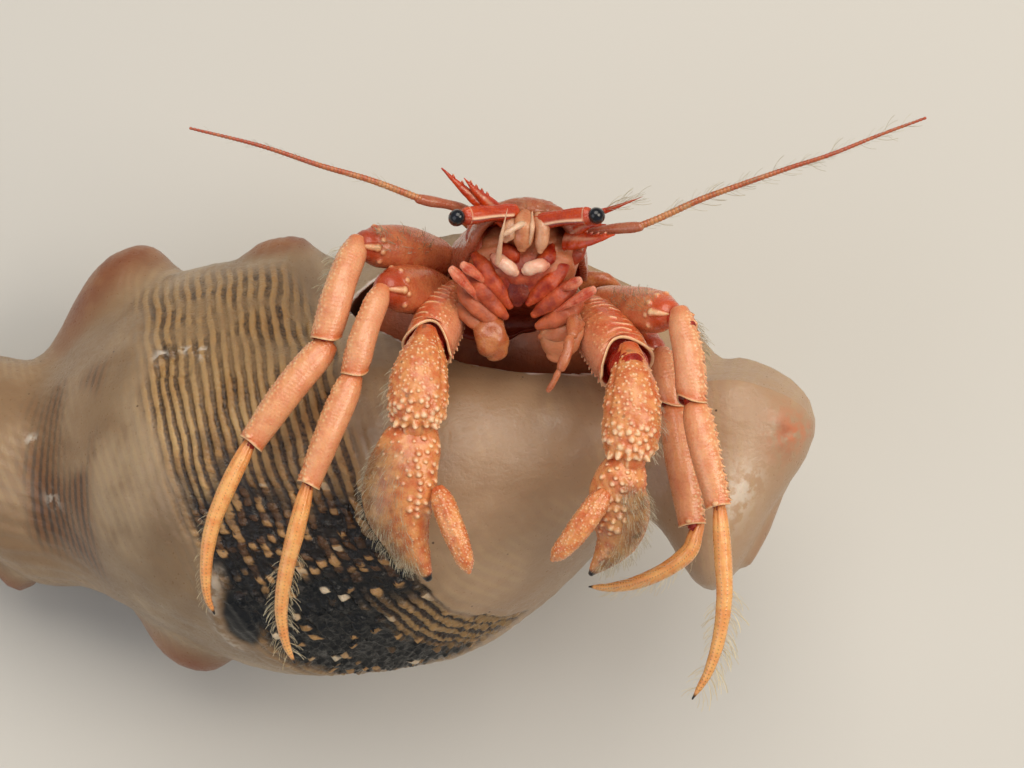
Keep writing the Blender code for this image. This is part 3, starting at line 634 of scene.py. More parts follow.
# ---- limbs
# How a piece's half width and half depth change along it: share, width, depth.
MERUS = ((0, 0.62, 0.66), (0.1, 0.82, 0.86), (0.4, 1.0, 1.0), (0.78, 1.0, 1.0), (0.93, 0.88, 0.9),
         (1, 0.7, 0.75))
CARPUS = ((0, 0.6, 0.6), (0.1, 0.8, 0.8), (0.4, 0.94, 0.94), (0.75, 1, 1), (1, 0.93, 0.93))
PROPODUS = ((0, 0.74, 0.74), (0.08, 0.92, 0.92), (0.3, 1.02, 1.02), (0.65, 0.96, 0.96),
            (0.92, 0.86, 0.86), (1, 0.84, 0.84))
DACTYL = ((0, 0.62, 0.62), (0.05, 0.8, 0.8), (0.2, 1, 1), (0.42, 0.93, 0.95), (0.62, 0.8, 0.84),
          (0.8, 0.6, 0.66), (0.92, 0.38, 0.42), (1, 0.1, 0.12))
ARM = ((0, 0.45, 0.6), (0.15, 0.72, 0.8), (0.45, 0.92, 0.95), (0.8, 1, 1), (1, 0.95, 0.92))
WRIST = ((0, 0.34, 0.4), (0.12, 0.52, 0.6), (0.35, 0.82, 0.88), (0.62, 1, 1), (0.85, 0.94, 0.94),
         (0.97, 0.72, 0.78), (1, 0.6, 0.66))
HAND = ((0, 0.5, 0.6), (0.07, 0.7, 0.8), (0.25, 0.92, 1), (0.45, 1, 1), (0.6, 0.86, 0.86),
        (0.75, 0.6, 0.66), (0.9, 0.32, 0.45), (1, 0.1, 0.16))
FINGER = ((0, 0.6, 0.7), (0.08, 0.85, 0.9), (0.35, 1, 1), (0.7, 0.88, 0.9), (0.92, 0.6, 0.66),
          (1, 0.25, 0.3))

# the middle line of each hard piece, its half width and its half depth
LEGS = {
    "right_leg_1": {
        "merus": (((10.2, 22.6, 46.5), (5.6, 22.1, 54.0), (1.3, 21.5, 57.6)), 2.6, 2.4),
        "carpus": (((-0.2, 20.7, 58.8), (-1.8, 15.5, 60.0), (-3.3, 9.9, 59.4)), 1.85, 1.8),
        "propodus": (((-3.7, 8.7, 59.0), (-7.6, 3.8, 59.0), (-11.6, -1.8, 58.0)), 1.8, 1.7),
        "dactyl": (((-12.3, -2.7, 57.7), (-14.2, -6.6, 57.2), (-16.0, -11.0, 56.3),
                    (-16.8, -15.1, 55.0), (-16.8, -18.7, 53.5), (-16.1, -20.7, 52.2)), 1.0, 1.1),
    },
    "right_leg_2": {
        "merus": (((10.4, 17.6, 47.5), (7.0, 17.2, 53.5), (3.9, 16.2, 58.0)), 2.9, 2.5),
        "carpus": (((2.7, 14.6, 60.0), (1.2, 10.0, 61.0), (0.1, 5.6, 60.4)), 1.6, 1.6),
        "propodus": (((-0.4, 4.5, 60.2), (-2.6, -1.0, 60.0), (-4.9, -6.7, 58.9)), 1.6, 1.6),
        "dactyl": (((-5.3, -7.7, 58.5), (-6.5, -12.3, 57.4), (-7.7, -16.6, 55.5),
                    (-8.3, -20.6, 53.5), (-7.9, -24.0, 51.5), (-7.0, -26.1, 50.0)), 1.0, 1.1),
    },
    "left_leg_1": {
        "merus": (((27.4, 17.0, 47.6), (32.4, 15.0, 53.4), (35.6, 13.2, 58.4)), 2.6, 2.4),
        "carpus": (((37.3, 11.8, 60.4), (38.0, 7.0, 61.4), (38.3, 2.2, 61.0)), 1.8, 1.8),
        "propodus": (((38.8, 1.1, 60.9), (39.8, -4.0, 61.0), (41.1, -9.3, 60.0)), 1.7, 1.7),
        "dactyl": (((41.3, -10.4, 59.8), (41.6, -15.4, 59.3), (41.7, -19.8, 58.5),
                    (41.1, -24.1, 57.3), (40.0, -27.6, 56.0), (38.3, -30.5, 54.5)), 1.0, 1.1),
    },
    "left_leg_2": {
        "merus": (((27.6, 15.4, 41.8), (32.0, 12.8, 46.0), (34.6, 11.2, 49.2)), 2.3, 2.2),
        "carpus": (((35.9, 9.3, 50.6), (36.4, 6.4, 51.2), (36.8, 3.7, 51.0)), 1.8, 1.8),
        "propodus": (((37.1, 2.6, 51.0), (38.0, -4.0, 51.2), (39.0, -10.0, 50.2)), 1.9, 1.7),
        "dactyl": (((39.4, -11.2, 49.8), (38.6, -13.2, 49.5), (36.2, -15.1, 49.0),
                    (33.0, -16.5, 48.0), (29.8, -17.1, 47.0), (27.1, -16.9, 46.0)), 1.0, 1.1),
    },
}
CLAWS = {
    "right_claw": {
        "merus": (((11.6, 18.4, 49.0), (9.9, 14.0, 54.4), (8.3, 9.3, 57.6)), 3.0, 2.6),
        "carpus": (((8.0, 8.7, 60.2), (7.5, 4.2, 61.4), (7.3, -0.3, 60.7)), 3.4, 2.9),
        "palm": (((7.1, -1.2, 59.6), (5.7, -5.2, 59.2), (5.2, -9.0, 58.2), (6.2, -12.8, 56.8),
                  (8.5, -17.0, 55.4)), 4.2, 2.7),
        "finger": (((10.4, -9.4, 60.6), (11.3, -11.8, 60.8), (12.3, -14.3, 60.2),
                    (13.1, -16.5, 59.0)), 1.35, 1.3),
    },
    "left_claw": {
        "merus": (((25.6, 16.6, 49.0), (28.6, 11.8, 54.6), (31.0, 7.2, 57.8)), 3.5, 2.8),
        "carpus": (((31.4, 6.6, 60.4), (31.5, 1.3, 61.6), (31.1, -4.1, 60.8)), 3.3, 2.9),
        "palm": (((30.6, -5.1, 60.0), (30.0, -7.6, 59.2), (30.2, -10.4, 57.8),
                  (29.6, -13.2, 56.4), (27.0, -16.4, 55.0)), 3.4, 2.5),
        "finger": (((27.2, -9.8, 61.8), (25.9, -11.6, 61.6), (24.3, -13.6, 60.6),
                    (22.7, -15.2, 59.2)), 1.35, 1.25),
    },
}
MARKS = ("tip", "rim", "flush", "socket", "soil", "dark", "pink")
CAP_STEPS = 5              # rings of the dome on a piece's end
# how far in and how far back each ring of a hollow end lies
CUP = ((0.94, 0.02), (0.89, 0.12), (0.86, 0.4), (0.8, 0.75), (0.62, 1.0), (0.3, 1.1))


def course_at(points, shares):
    """Points on a smooth curve; beyond either end it runs straight on."""
    points = np.array(points, dtype=float)
    shares = np.asarray(shares, dtype=float)
    steps = np.diff(points, axis=0)
    lengths = np.linalg.norm(steps, axis=1)
    marks = np.concatenate(([0.0], np.cumsum(lengths)))
    want = np.clip(shares, 0.0, 1.0) * marks[-1]
    span = np.clip(np.searchsorted(marks, want, side="right") - 1, 0, len(lengths) - 1)
    t = ((want - marks[span]) / lengths[span])[:, None]
    padded = np.vstack((2.0 * points[0] - points[1], points, 2.0 * points[-1] - points[-2]))
    before, start = padded[span], padded[span + 1]
    end, beyond = padded[span + 2], padded[span + 3]
    curve = 0.5 * (2.0 * start + (end - before) * t
                   + (2.0 * before - 5.0 * start + 4.0 * end - beyond) * t ** 2
                   + (3.0 * start - before - 3.0 * end + beyond) * t ** 3)
    past = np.minimum(shares, 0.0)[:, None] * marks[-1] * steps[0] / lengths[0]
    beyond_end = np.maximum(shares - 1.0, 0.0)[:, None] * marks[-1] * steps[-1] / lengths[-1]
    return curve + past + beyond_end


class Limb:
    """One hard piece of a limb as a fine grid that can be raised, notched and closed."""

    def __init__(self, course, width, depth, shape, step, before=0.0, after=0.0, square=1.0):
        course = np.array(course, dtype=float)
        length = np.linalg.norm(np.diff(course, axis=0), axis=1).sum()
        rings = int((length + before + after) / step) + 2
        self.sides = int(2.0 * math.pi * max(width, depth) / step)
        shares = np.linspace(-before / length, 1.0 + after / length, rings)
        self.centre = course_at(course, shares)
        ahead = course_at(course, shares + 0.02) - course_at(course, shares - 0.02)
        self.way = unit(ahead)
        self.side = unit(np.cross(self.way, (0.0, 0.0, 1.0)))
        self.up = np.cross(self.side, self.way)
        profile = np.array(shape, dtype=float)
        rel = (shares - shares[0]) / (shares[-1] - shares[0])
        self.wide = width * table_curve(rel, profile[:, 0], profile[:, 1])
        self.deep = depth * table_curve(rel, profile[:, 0], profile[:, 2])
        turn = np.linspace(0.0, 2.0 * math.pi, self.sides, endpoint=False)
        cosine, sine = np.cos(turn), np.sin(turn)
        cos_held = np.sign(cosine) * np.abs(cosine) ** square
        sin_held = np.sign(sine) * np.abs(sine) ** square
        self.degrees = np.degrees(turn)[None, :]
        self.share = rel[:, None]
        self.along = ((shares - shares[0]) * length)[:, None]
        self.left = self.along[-1, 0] - self.along
        self.points = (self.centre[:, None, :]
                       + self.side[:, None, :] * (self.wide[:, None] * cos_held)[..., None]
                       + self.up[:, None, :] * (self.deep[:, None] * sin_held)[..., None])
        out = (self.side[:, None, :] * (cosine / self.wide[:, None])[..., None]
               + self.up[:, None, :] * (sine / self.deep[:, None])[..., None])
        self.out = unit(out)
        self.base = self.points.copy()
        self.marks = {mark: np.zeros((rings, self.sides)) for mark in MARKS}
        self.arc = np.radians(swing_from(self.degrees, 90.0)) * self.wide[:, None]

    def facing(self, degrees, spread):
        """How nearly a point of the skin faces a direction round the limb."""
        return bell(swing_from(self.degrees, degrees), 0.0, spread)

    def lift(self, rise, lean=0.0):
        """Move the skin outward, and with lean also toward the tip."""
        self.points = self.points + self.out * rise[..., None]
        if lean:
            self.points = self.points + self.way[:, None, :] * (rise * lean)[..., None]

    def roughen(self, height, size, seed):
        """Give the skin low lumps of a size in millimetres."""
        self.lift(height * lumps(self.base, size, seed))

    def mark(self, name, values):
        """Strengthen one mark."""
        self.marks[name] = np.maximum(self.marks[name], values)

    def notch(self, degrees, spread, depth, zone):
        """Cut the far rim back on one side."""
        pull = depth * self.facing(degrees, spread) * ease(1.0 - self.left / zone)
        self.points = self.points - self.way[:, None, :] * pull[..., None]

    def spots(self, rng, count, shares, degrees, spacing):
        """Places on the skin, no two nearer than the spacing."""
        found = []
        for _ in range(count * 12):
            if len(found) >= count:
                break
            ring = int(rng.uniform(*shares) * (len(self.centre) - 1))
            side = int(rng.uniform(*degrees) / 360.0 * self.sides) % self.sides
            spot = self.base[ring, side]
            if all(((spot - other) ** 2).sum() > spacing ** 2 for other in found):
                found.append(spot)
        return np.array(found)

    def row(self, count, shares, degrees):
        """Places in a row along the limb."""
        rings = np.linspace(shares[0], shares[1], count) * (len(self.centre) - 1)
        sides = np.linspace(degrees[0], degrees[1], count) / 360.0 * self.sides
        return np.array([self.base[int(ring), int(side) % self.sides]
                         for ring, side in zip(rings, sides)])

    def knobs(self, spots, radius, height, sharp=1.5, lean=0.35, mark="tip"):
        """Raise a blunt cone at each place and mark its tip."""
        rise = np.zeros(self.points.shape[:2])
        crown = np.zeros(self.points.shape[:2])
        radius = np.broadcast_to(radius, len(spots))
        height = np.broadcast_to(height, len(spots))
        for spot, wide, high in zip(spots, radius, height):
            off = np.sqrt(((self.base - spot) ** 2).sum(axis=2)) / wide
            bump = np.clip(1.0 - off ** 2, 0.0, 1.0) ** sharp
            rise = np.maximum(rise, high * bump)
            crown = np.maximum(crown, bump)
        self.lift(rise, lean)
        self.mark(mark, ease((crown - 0.35) / 0.6))

    def scatter(self, rng, count, shares, degrees, spacing, radius, height, sharp=1.5, lean=0.35):
        """Raise blunt cones at random places, with radius and height from their ranges."""
        spots = self.spots(rng, count, shares, degrees, spacing)
        self.knobs(spots, rng.uniform(*radius, len(spots)), rng.uniform(*height, len(spots)),
                   sharp, lean)

    def rim(self, height=0.12, breadth=0.18):
        """A thickened pale edge round the far end."""
        self.lift(height * bell(self.left, breadth * 0.6, breadth))
        self.mark("rim", bell(self.left, 0.0, breadth * 1.3))

    def finish(self, name, dome=0.6, cup=0.0):
        """Close both ends, the far one as a dome or as a hollow cup, and make the mesh."""
        near, far = self.points[0], self.points[-1]
        turns = [0.48 * math.pi * step / CAP_STEPS for step in range(1, CAP_STEPS + 1)]
        middle = near.mean(axis=0)
        start = [middle + (near - middle) * math.cos(turn) - self.way[0] * dome * math.sin(turn)
                 for turn in reversed(turns)]
        middle = far.mean(axis=0)
        if cup:
            end = [middle + (far - middle) * inward - self.way[-1] * cup * back
                   for inward, back in CUP]
            dark = [ease((0.93 - inward) / 0.05) for inward, _ in CUP]
        else:
            rise = 0.8 * np.linalg.norm(far - middle, axis=1).mean() * self.way[-1]
            end = [middle + (far - middle) * math.cos(turn) + rise * math.sin(turn)
                   for turn in turns]
            dark = [0.0] * CAP_STEPS
        marks = {mark: np.concatenate((np.repeat(values[:1], len(start), axis=0), values,
                                       np.repeat(values[-1:], len(end), axis=0)))
                 for mark, values in self.marks.items()}
        inner = marks["socket"][-len(end):]
        inner[:] = np.maximum(inner, np.array(dark)[:, None])
        return tube_object(name, np.concatenate((start, self.points, end)), marks)


def leg_piece(rng, leg, piece, course, width, depth):
    """One piece of a walking leg: fine wrinkles, small points, reddened joints."""
    right = leg.startswith("right")
    outer = 20.0 if right else 160.0
    if piece == "dactyl":
        return leg_tip(rng, leg, course, width, depth)
    shapes = {"merus": MERUS, "carpus": CARPUS, "propodus": PROPODUS}
    before = {"merus": 0.0, "carpus": 1.3, "propodus": 1.0}[piece]
    limb = Limb(course, width, depth, shapes[piece], 0.12, before=before, after=0.3)
    wrinkle = np.cos(2.0 * math.pi * (limb.along + 0.25 * lumps(limb.base, 1.6, 21)) / 0.42)
    fold = 0.012 if piece == "merus" else 0.022
    side_share = 0.35 + 0.65 * limb.facing(outer, 55.0)
    limb.lift(fold * wrinkle * side_share + 0.05 * lumps(limb.base, 1.8, 22))
    limb.mark("flush", (0.9 if piece == "merus" else 1.0) * bell(limb.left, 0.0, 1.0))
    limb.mark("flush", 0.6 * bell(limb.along, 0.0, 1.0))
    limb.mark("pink", {"merus": 0.35, "carpus": 0.8, "propodus": 0.6}[piece]
              * (0.4 + 0.6 * limb.facing(outer + (120.0 if right else -120.0), 80.0)))
    if piece != "merus":
        limb.scatter(rng, 150, (0.06, 0.96), (outer - 42.0, outer + 42.0), 0.40, (0.18, 0.32),
                     (0.05, 0.13))
        if not right:
            teeth = limb.row(12 if piece == "propodus" else 9, (0.08, 0.95), (outer, outer - 12.0))
            limb.knobs(teeth, 0.34, 0.30, 1.6, 0.6)
            pits = teeth - limb.way[len(limb.way) // 2] * 0.22
            limb.mark("soil", spot_mark(limb.base, pits, 0.24))
        limb.rim(0.07, 0.15)
    if piece == "carpus":
        limb.notch(200.0 if right else 20.0, 55.0, 1.1, 2.6)
    if piece == "propodus":
        limb.notch(80.0, 60.0, 0.3, 1.5)
        knob = limb.row(1, (0.965, 0.965), (75.0, 75.0))
        limb.knobs(knob, 0.5, 0.26, 1.0, 0.4)
    if piece == "merus":
        limb.mark("flush", bell(limb.left, 0.0, 0.7))
        scales = limb.row(5, (0.93, 0.93), (20.0, 160.0))
        limb.knobs(scales, 0.5, 0.22, 1.2, 0.8)
        socket = limb.row(1, (0.99, 0.99), (115.0 if right else 65.0,) * 2)
        limb.knobs(socket, 0.6, 0.45, 0.9, 0.3, "rim")
    return limb.finish(leg + "_" + piece, 0.5, 0.0 if piece == "merus" else 0.6)


def spot_mark(points, spots, radius):
    """A round mark of a radius about each place."""
    off = np.full(points.shape[:2], 9.0)
    for spot in spots:
        off = np.minimum(off, np.sqrt(((points - spot) ** 2).sum(axis=2)) / radius)
    return ease((1.15 - off) / 0.4)


def leg_tip(rng, leg, course, width, depth):
    """The long curved last piece: grooves at its root, rows of pores, a horny point."""
    limb = Limb(course, width, depth, DACTYL, 0.11, before=1.3)
    root = ease((0.3 - limb.share) / 0.25)
    for degrees in (55.0, 95.0, 135.0):
        limb.lift(-0.10 * root * limb.facing(degrees, 11.0))
    for degrees in (20.0, 62.0, 105.0, 150.0):
        pores = limb.row(44, (0.12, 0.94), (degrees, degrees + 6.0))
        limb.knobs(pores, 0.13, 0.035, 1.0, 0.0, "soil")
    limb.roughen(0.03, 1.2, 23)
    limb.mark("flush", bell(limb.along, 0.0, 2.2))
    limb.mark("dark", ease((limb.share - 0.955) / 0.03))
    return limb.finish(leg + "_dactyl", 0.5)


def claw_arm(rng, claw, course, width, depth):
    """The merus of a claw: scale-like ridges on its back, a smooth inner face, an arched rim."""
    right = claw == "right_claw"
    limb = Limb(course, width, depth, ARM, 0.11, after=0.6)
    outer = 55.0 if right else 125.0
    inner = 165.0 if right else 15.0
    limb.lift(0.09 * lumps(limb.base, 2.2, 31) * limb.facing(outer, 60.0))
    sign = 1.0 if right else -1.0
    wave = limb.along + 0.35 * lumps(limb.base, 1.6, 32) + 0.25 * sign * np.abs(limb.arc)
    ridge = (0.5 + 0.5 * np.cos(2.0 * math.pi * wave / 0.95)) ** 3
    cut = ease((lumps(limb.base, 0.8, 33) + 0.45) / 0.5)
    scale = limb.facing(outer, 34.0) * ease((limb.share - 0.12) / 0.2)
    scale = scale * ease((limb.left - 0.5) / 0.5)
    limb.lift(0.22 * ridge * cut * scale, 0.8)
    limb.mark("tip", ease((ridge * cut * scale - 0.35) / 0.4))
    limb.mark("flush", 0.75 * scale)
    limb.scatter(rng, 46, (0.2, 0.95), sorted((outer + sign * 32.0, outer + sign * 72.0)), 0.42,
                 (0.14, 0.24), (0.06, 0.14))
    edge = (inner + sign * 28.0) % 360.0
    teeth = limb.row(9, (0.55, 0.98), (edge, edge))
    limb.knobs(teeth, rng.uniform(0.22, 0.34, 9), rng.uniform(0.2, 0.42, 9), 1.6, 0.9)
    limb.mark("pink", 0.95 * limb.facing(inner, 62.0))
    limb.rim(0.2, 0.2)
    limb.notch(82.0 if right else 98.0, 46.0, 2.6, 3.4)
    limb.mark("flush", 0.9 * bell(limb.left, 0.0, 0.8))
    corner = limb.row(1, (0.985, 0.985), ((inner - sign * 12.0) % 360.0,) * 2)
    limb.knobs(corner, 0.75, 0.5, 1.3, 2.4)
    return limb.finish(claw + "_merus", 0.6, 1.6)


def claw_wrist(rng, claw, course, width, depth):
    """The carpus of a claw: big blunt tubercles with pale tips."""
    right = claw == "right_claw"
    limb = Limb(course, width, depth, WRIST, 0.095, before=2.4, after=0.3)
    limb.roughen(0.14, 1.9, 41)
    crease = 143.0 if right else 37.0
    limb.lift(-0.20 * limb.facing(crease, 7.0) * ease((0.8 - limb.share) / 0.3))
    big = limb.spots(rng, 95, (0.22, 0.99), (8.0, 172.0), 0.62)
    grow = np.array([0.62 + 0.6 * ease((spot[1] - course[1][1]) / -4.0) for spot in big])
    limb.knobs(big, rng.uniform(0.34, 0.54, len(big)) * grow,
               rng.uniform(0.14, 0.34, len(big)) * grow, 1.35, 0.6)
    limb.scatter(rng, 220, (0.12, 0.99), (-20.0, 200.0), 0.34, (0.13, 0.24), (0.05, 0.12), 1.5,
                 0.6)
    ends = limb.row(5, (0.97, 0.97), (35.0, 145.0))
    limb.knobs(ends, 0.5, 0.34, 1.5, 1.2)
    limb.mark("flush", 0.9 * bell(limb.along, 0.0, 1.6)
              + 0.25 * ease(lumps(limb.base, 1.4, 42)))
    limb.mark("soil", 0.8 * ease((lumps(limb.base, 0.8, 43) - 0.62) / 0.2)
              * limb.facing(60.0, 60.0))
    return limb.finish(claw + "_carpus", 0.4)


def claw_hand(rng, claw, course, width, depth):
    """The palm and its fixed finger: a knobbly ridge inside, a thin soft-haired face outside."""
    right = claw == "right_claw"
    limb = Limb(course, width, depth, HAND, 0.11, before=1.5)
    ridge = 135.0 if right else 75.0
    limb.roughen(0.10, 1.8, 51)
    body = ease((0.62 - limb.share) / 0.12)
    limb.lift(0.35 * limb.facing(ridge, 26.0) * body)
    limb.scatter(rng, 30, (0.08, 0.6), (ridge - 32.0, ridge + 26.0), 0.72, (0.32, 0.5),
                 (0.22, 0.42), 1.2, 0.5)
    other = (20.0, 110.0) if right else (100.0, 175.0)
    limb.scatter(rng, 26, (0.05, 0.4), other, 0.7, (0.2, 0.32), (0.1, 0.2))
    limb.scatter(rng, 90, (0.55, 0.98), (0.0, 180.0), 0.32, (0.12, 0.2), (0.04, 0.09))
    veil = limb.facing(35.0 if right else 125.0, 52.0) * ease((limb.share - 0.12) / 0.2)
    limb.marks["veil"] = veil
    limb.mark("soil", 0.9 * ease((lumps(limb.base, 0.9, 52) - 0.45) / 0.25) * veil)
    limb.mark("flush", 0.8 * bell(limb.along, 0.0, 0.9))
    limb.mark("dark", ease((limb.share - 0.965) / 0.025))
    return limb.finish(claw + "_palm", 0.4)


def claw_finger(rng, claw, course, width, depth):
    """The finger that moves: rows of grains on its back, a toothed edge."""
    limb = Limb(course, width, depth, FINGER, 0.08, before=1.9, after=0.2)
    limb.scatter(rng, 210, (0.04, 0.97), (-10.0, 190.0), 0.24, (0.11, 0.19), (0.05, 0.1))
    limb.lift(0.06 * np.cos(np.radians(limb.degrees - 90.0) * 7.0)
              * ease((0.9 - limb.share) / 0.2) * limb.facing(90.0, 60.0))
    limb.mark("flush", 0.6 * bell(limb.along, 0.0, 0.8))
    return limb.finish(claw + "_finger", 0.4)


def joint_skins():
    """The soft red skin between the hard pieces, one small bellows for each joint."""
    grids = []
    for table in (LEGS, CLAWS):
        for pieces in table.values():
            order = list(pieces.values())
            for (near, near_wide, near_deep), (far, far_wide, far_deep) in zip(order, order[1:3]):
                start, end = np.array(near[-1]), np.array(far[0])
                narrow = table is LEGS or far is order[2][0]
                wide = (0.56 if narrow else 0.66) * min(near_wide, far_wide)
                grids.append(bellows(start, end, wide, 0.95 * wide))
    for pieces in LEGS.values():
        start, end = np.array(pieces["propodus"][0][-1]), np.array(pieces["dactyl"][0][0])
        grids.append(bellows(start, end, 0.6, 0.6))
    return join_tubes("joint_skins", grids)


def bellows(start, end, wide, deep):
    """A short folded tube from one piece to the next."""
    way = end - start
    course = (start - 0.9 * way, 0.5 * (start + end), end + 0.7 * way)
    limb = Limb(course, wide, deep, ((0, 0.5, 0.5), (0.25, 0.95, 0.95), (0.5, 1, 1),
                                     (0.75, 0.95, 0.95), (1, 0.5, 0.5)), 0.14)
    limb.lift(0.06 * np.cos(2.0 * math.pi * limb.along / 0.5) + 0.04 * lumps(limb.base, 0.7, 61))
    return limb.points


# ---- head
ROD = ((0, 0.85, 0.85), (0.12, 1, 1), (0.5, 0.92, 0.92), (0.88, 1.0, 1.0), (1, 0.85, 0.85))
STALK = ((0, 0.85, 0.85), (0.15, 0.95, 0.95), (0.45, 0.86, 0.86), (0.85, 1, 1), (1, 0.97, 0.97))
LEAF = ((0, 0.4, 0.6), (0.25, 0.85, 0.9), (0.6, 1, 1), (0.88, 0.8, 0.85), (1, 0.45, 0.5))
PADDLE = ((0, 0.42, 0.6), (0.35, 0.5, 0.75), (0.62, 0.78, 0.95), (0.85, 1, 1), (1, 0.72, 0.8))
SPINE = ((0, 1.0, 1.0), (0.3, 0.8, 0.85), (0.65, 0.42, 0.5), (0.9, 0.14, 0.2), (1, 0.04, 0.06))
PLUMP = ((0, 0.6, 0.6), (0.13, 0.92, 0.92), (0.5, 1, 1), (0.88, 0.94, 0.94), (1, 0.66, 0.7))
FLAT_END = ((0, 0.55, 0.6), (0.3, 0.85, 0.9), (0.7, 1, 1), (0.92, 0.92, 0.9), (1, 0.7, 0.7))
# rings of the trunk: height, centre x, centre y, half width, half depth, rise per mm along y
TRUNK = (
    (39.8, 15.0, 19.0, 8.2, 6.0, -0.95),
    (41.2, 15.6, 19.6, 8.8, 6.1, -0.75),
    (43.0, 17.0, 20.6, 8.6, 5.9, -0.35),
    (46.5, 18.0, 21.0, 7.6, 5.2, 0.0),
    (51.0, 18.9, 20.8, 6.8, 4.7, 0.0),
    (55.0, 19.3, 20.5, 6.5, 4.5, 0.0),
    (58.0, 19.5, 20.3, 6.2, 4.3, -0.1),
    (59.8, 19.6, 20.3, 5.3, 3.6, -0.1),
    (60.5, 19.6, 20.4, 3.4, 2.2, -0.1),
)
# height, centre x, centre y, half width, half depth of the plate over the back of the head
SHIELD = (
    (48.0, 18.5, 21.0, 8.6, 7.2),
    (51.5, 19.0, 21.0, 8.0, 6.8),
    (55.0, 19.3, 20.9, 7.4, 6.0),
    (58.5, 19.5, 20.9, 6.9, 5.5),
    (60.6, 19.5, 21.3, 6.5, 4.95),
    (61.9, 19.5, 21.7, 5.8, 4.3),
    (62.8, 19.5, 22.1, 4.6, 3.1),
    (63.2, 19.5, 22.5, 3.4, 1.9),
)
SHIELD_SPREAD = 100.0      # degrees from the back to the plate's edge
SHIELD_THICK = 0.85
# soft masses round the mouth: course, half width, half thickness, how pink, how much painted shade
# darkens it
MOUTH_LEAVES = (
    # right fan, outward from the jaw
    (((18.2, 15.4, 58.4), (16.6, 18.2, 59.8), (15.6, 20.6, 59.6)), 0.95, 0.6, 0.0, 0.2),
    (((17.8, 14.2, 58.0), (15.4, 17.2, 59.9), (13.8, 20.0, 59.4)), 1.1, 0.65, 0.05, 0.0),
    (((17.2, 13.0, 57.6), (14.6, 15.6, 59.4), (12.7, 18.4, 58.8)), 1.1, 0.65, 0.2, 0.0),
    (((16.6, 12.0, 57.0), (14.1, 14.0, 58.4), (12.0, 16.4, 57.8)), 1.1, 0.7, 0.45, 0.0),
    (((16.4, 11.2, 56.2), (13.8, 12.6, 57.2), (11.8, 14.6, 56.2)), 1.0, 0.7, 0.7, 0.0),
    # left fan, outward from the jaw
    (((19.4, 15.4, 58.6), (21.2, 17.8, 59.8), (22.4, 19.8, 59.6)), 0.95, 0.6, 0.0, 0.2),
    (((19.9, 14.4, 58.4), (22.4, 16.6, 59.9), (24.3, 19.2, 59.4)), 1.1, 0.65, 0.0, 0.05),
    (((20.5, 13.2, 57.8), (23.2, 14.8, 59.6), (25.4, 16.8, 59.0)), 1.1, 0.65, 0.15, 0.0),
    (((21.0, 12.0, 57.2), (23.8, 13.0, 58.6), (25.9, 14.4, 58.0)), 1.1, 0.7, 0.4, 0.0),
    (((21.4, 10.8, 56.6), (24.0, 11.3, 57.6), (26.0, 12.4, 56.8)), 1.1, 0.7, 0.7, 0.0),
    # under the jaws, beside them, the walls of the mouth, the left lower plate
    # the mass under the jaws carries the most painted shade, the dark of the mouth's middle
    (((19.0, 18.4, 59.0), (18.8, 16.4, 59.0), (18.6, 14.4, 58.2)), 1.5, 0.7, 0.0, 0.7),
    (((16.8, 20.9, 60.2), (17.7, 19.8, 61.0), (18.6, 18.7, 60.6)), 0.95, 0.6, 0.0, 0.1),
    (((22.7, 20.6, 60.4), (22.0, 19.2, 60.9), (20.8, 18.6, 60.5)), 0.95, 0.6, 0.0, 0.1),
    (((13.4, 24.0, 57.4), (14.2, 21.8, 58.8), (14.8, 19.4, 58.6)), 1.5, 0.8, 0.1, 0.0),
    (((26.0, 23.8, 57.4), (25.2, 21.4, 58.8), (24.6, 19.0, 58.6)), 1.5, 0.8, 0.15, 0.0),
    (((24.6, 14.6, 55.9), (23.8, 11.4, 56.9), (23.0, 8.6, 55.9)), 2.4, 0.9, 0.95, 0.0),
)
# the line of each feeler, from its root
FEELERS = {
    "right": ((7.6, 25.0, 64.7), (2.0, 26.8, 66.0), (-3.6, 28.2, 67.0), (-10.3, 30.2, 68.0),
              (-18.0, 31.9, 69.0)),
    "left": ((32.3, 21.7, 64.8), (34.7, 22.6, 65.2), (39.2, 24.5, 66.0), (43.6, 25.9, 67.0),
             (49.1, 27.6, 68.0), (53.5, 28.8, 69.0), (59.0, 30.8, 70.0), (63.9, 32.4, 71.0)),
}
LEFT_INNER_FEELER = ((27.0, 23.4, 63.6), (29.6, 24.0, 64.6), (32.8, 25.0, 65.6))
FEELER_RING = 0.44         # mm from ring to ring along a feeler


def plain_limb(name, course, width, depth, shape, step=0.1, bumps=0.05, square=1.0, **marks):
    """A smooth limb piece with slight unevenness and even marks."""
    limb = Limb(course, width, depth, shape, step, square=square)
    limb.roughen(bumps, 1.1, 71)
    for mark, value in marks.items():
        limb.mark(mark, value)
    return limb.finish(name, 0.4)


def trunk_grid():
    """The flesh of the mouth field, with folds that run down into the shell."""
    rows = np.linspace(0, len(TRUNK) - 1, 90)[:, None]
    height, middle_x, middle_y, wide, deep, slope = table_rows(TRUNK, rows)
    turn = np.linspace(0.0, 2.0 * math.pi, 160, endpoint=False)[None, :]
    across = deep * np.sin(turn)
    points = np.stack(np.broadcast_arrays(middle_x + wide * np.cos(turn), middle_y + across,
                                          height + slope * across), axis=-1)
    fold = 0.10 * np.cos(turn * 14.0 + 2.0 * lumps(points, 3.0, 73)) + 0.22 * lumps(points, 1.6, 72)
    out = np.stack(np.broadcast_arrays(np.cos(turn), np.sin(turn), 0.3 + 0.0 * rows), -1)
    return points + out * fold[..., None]


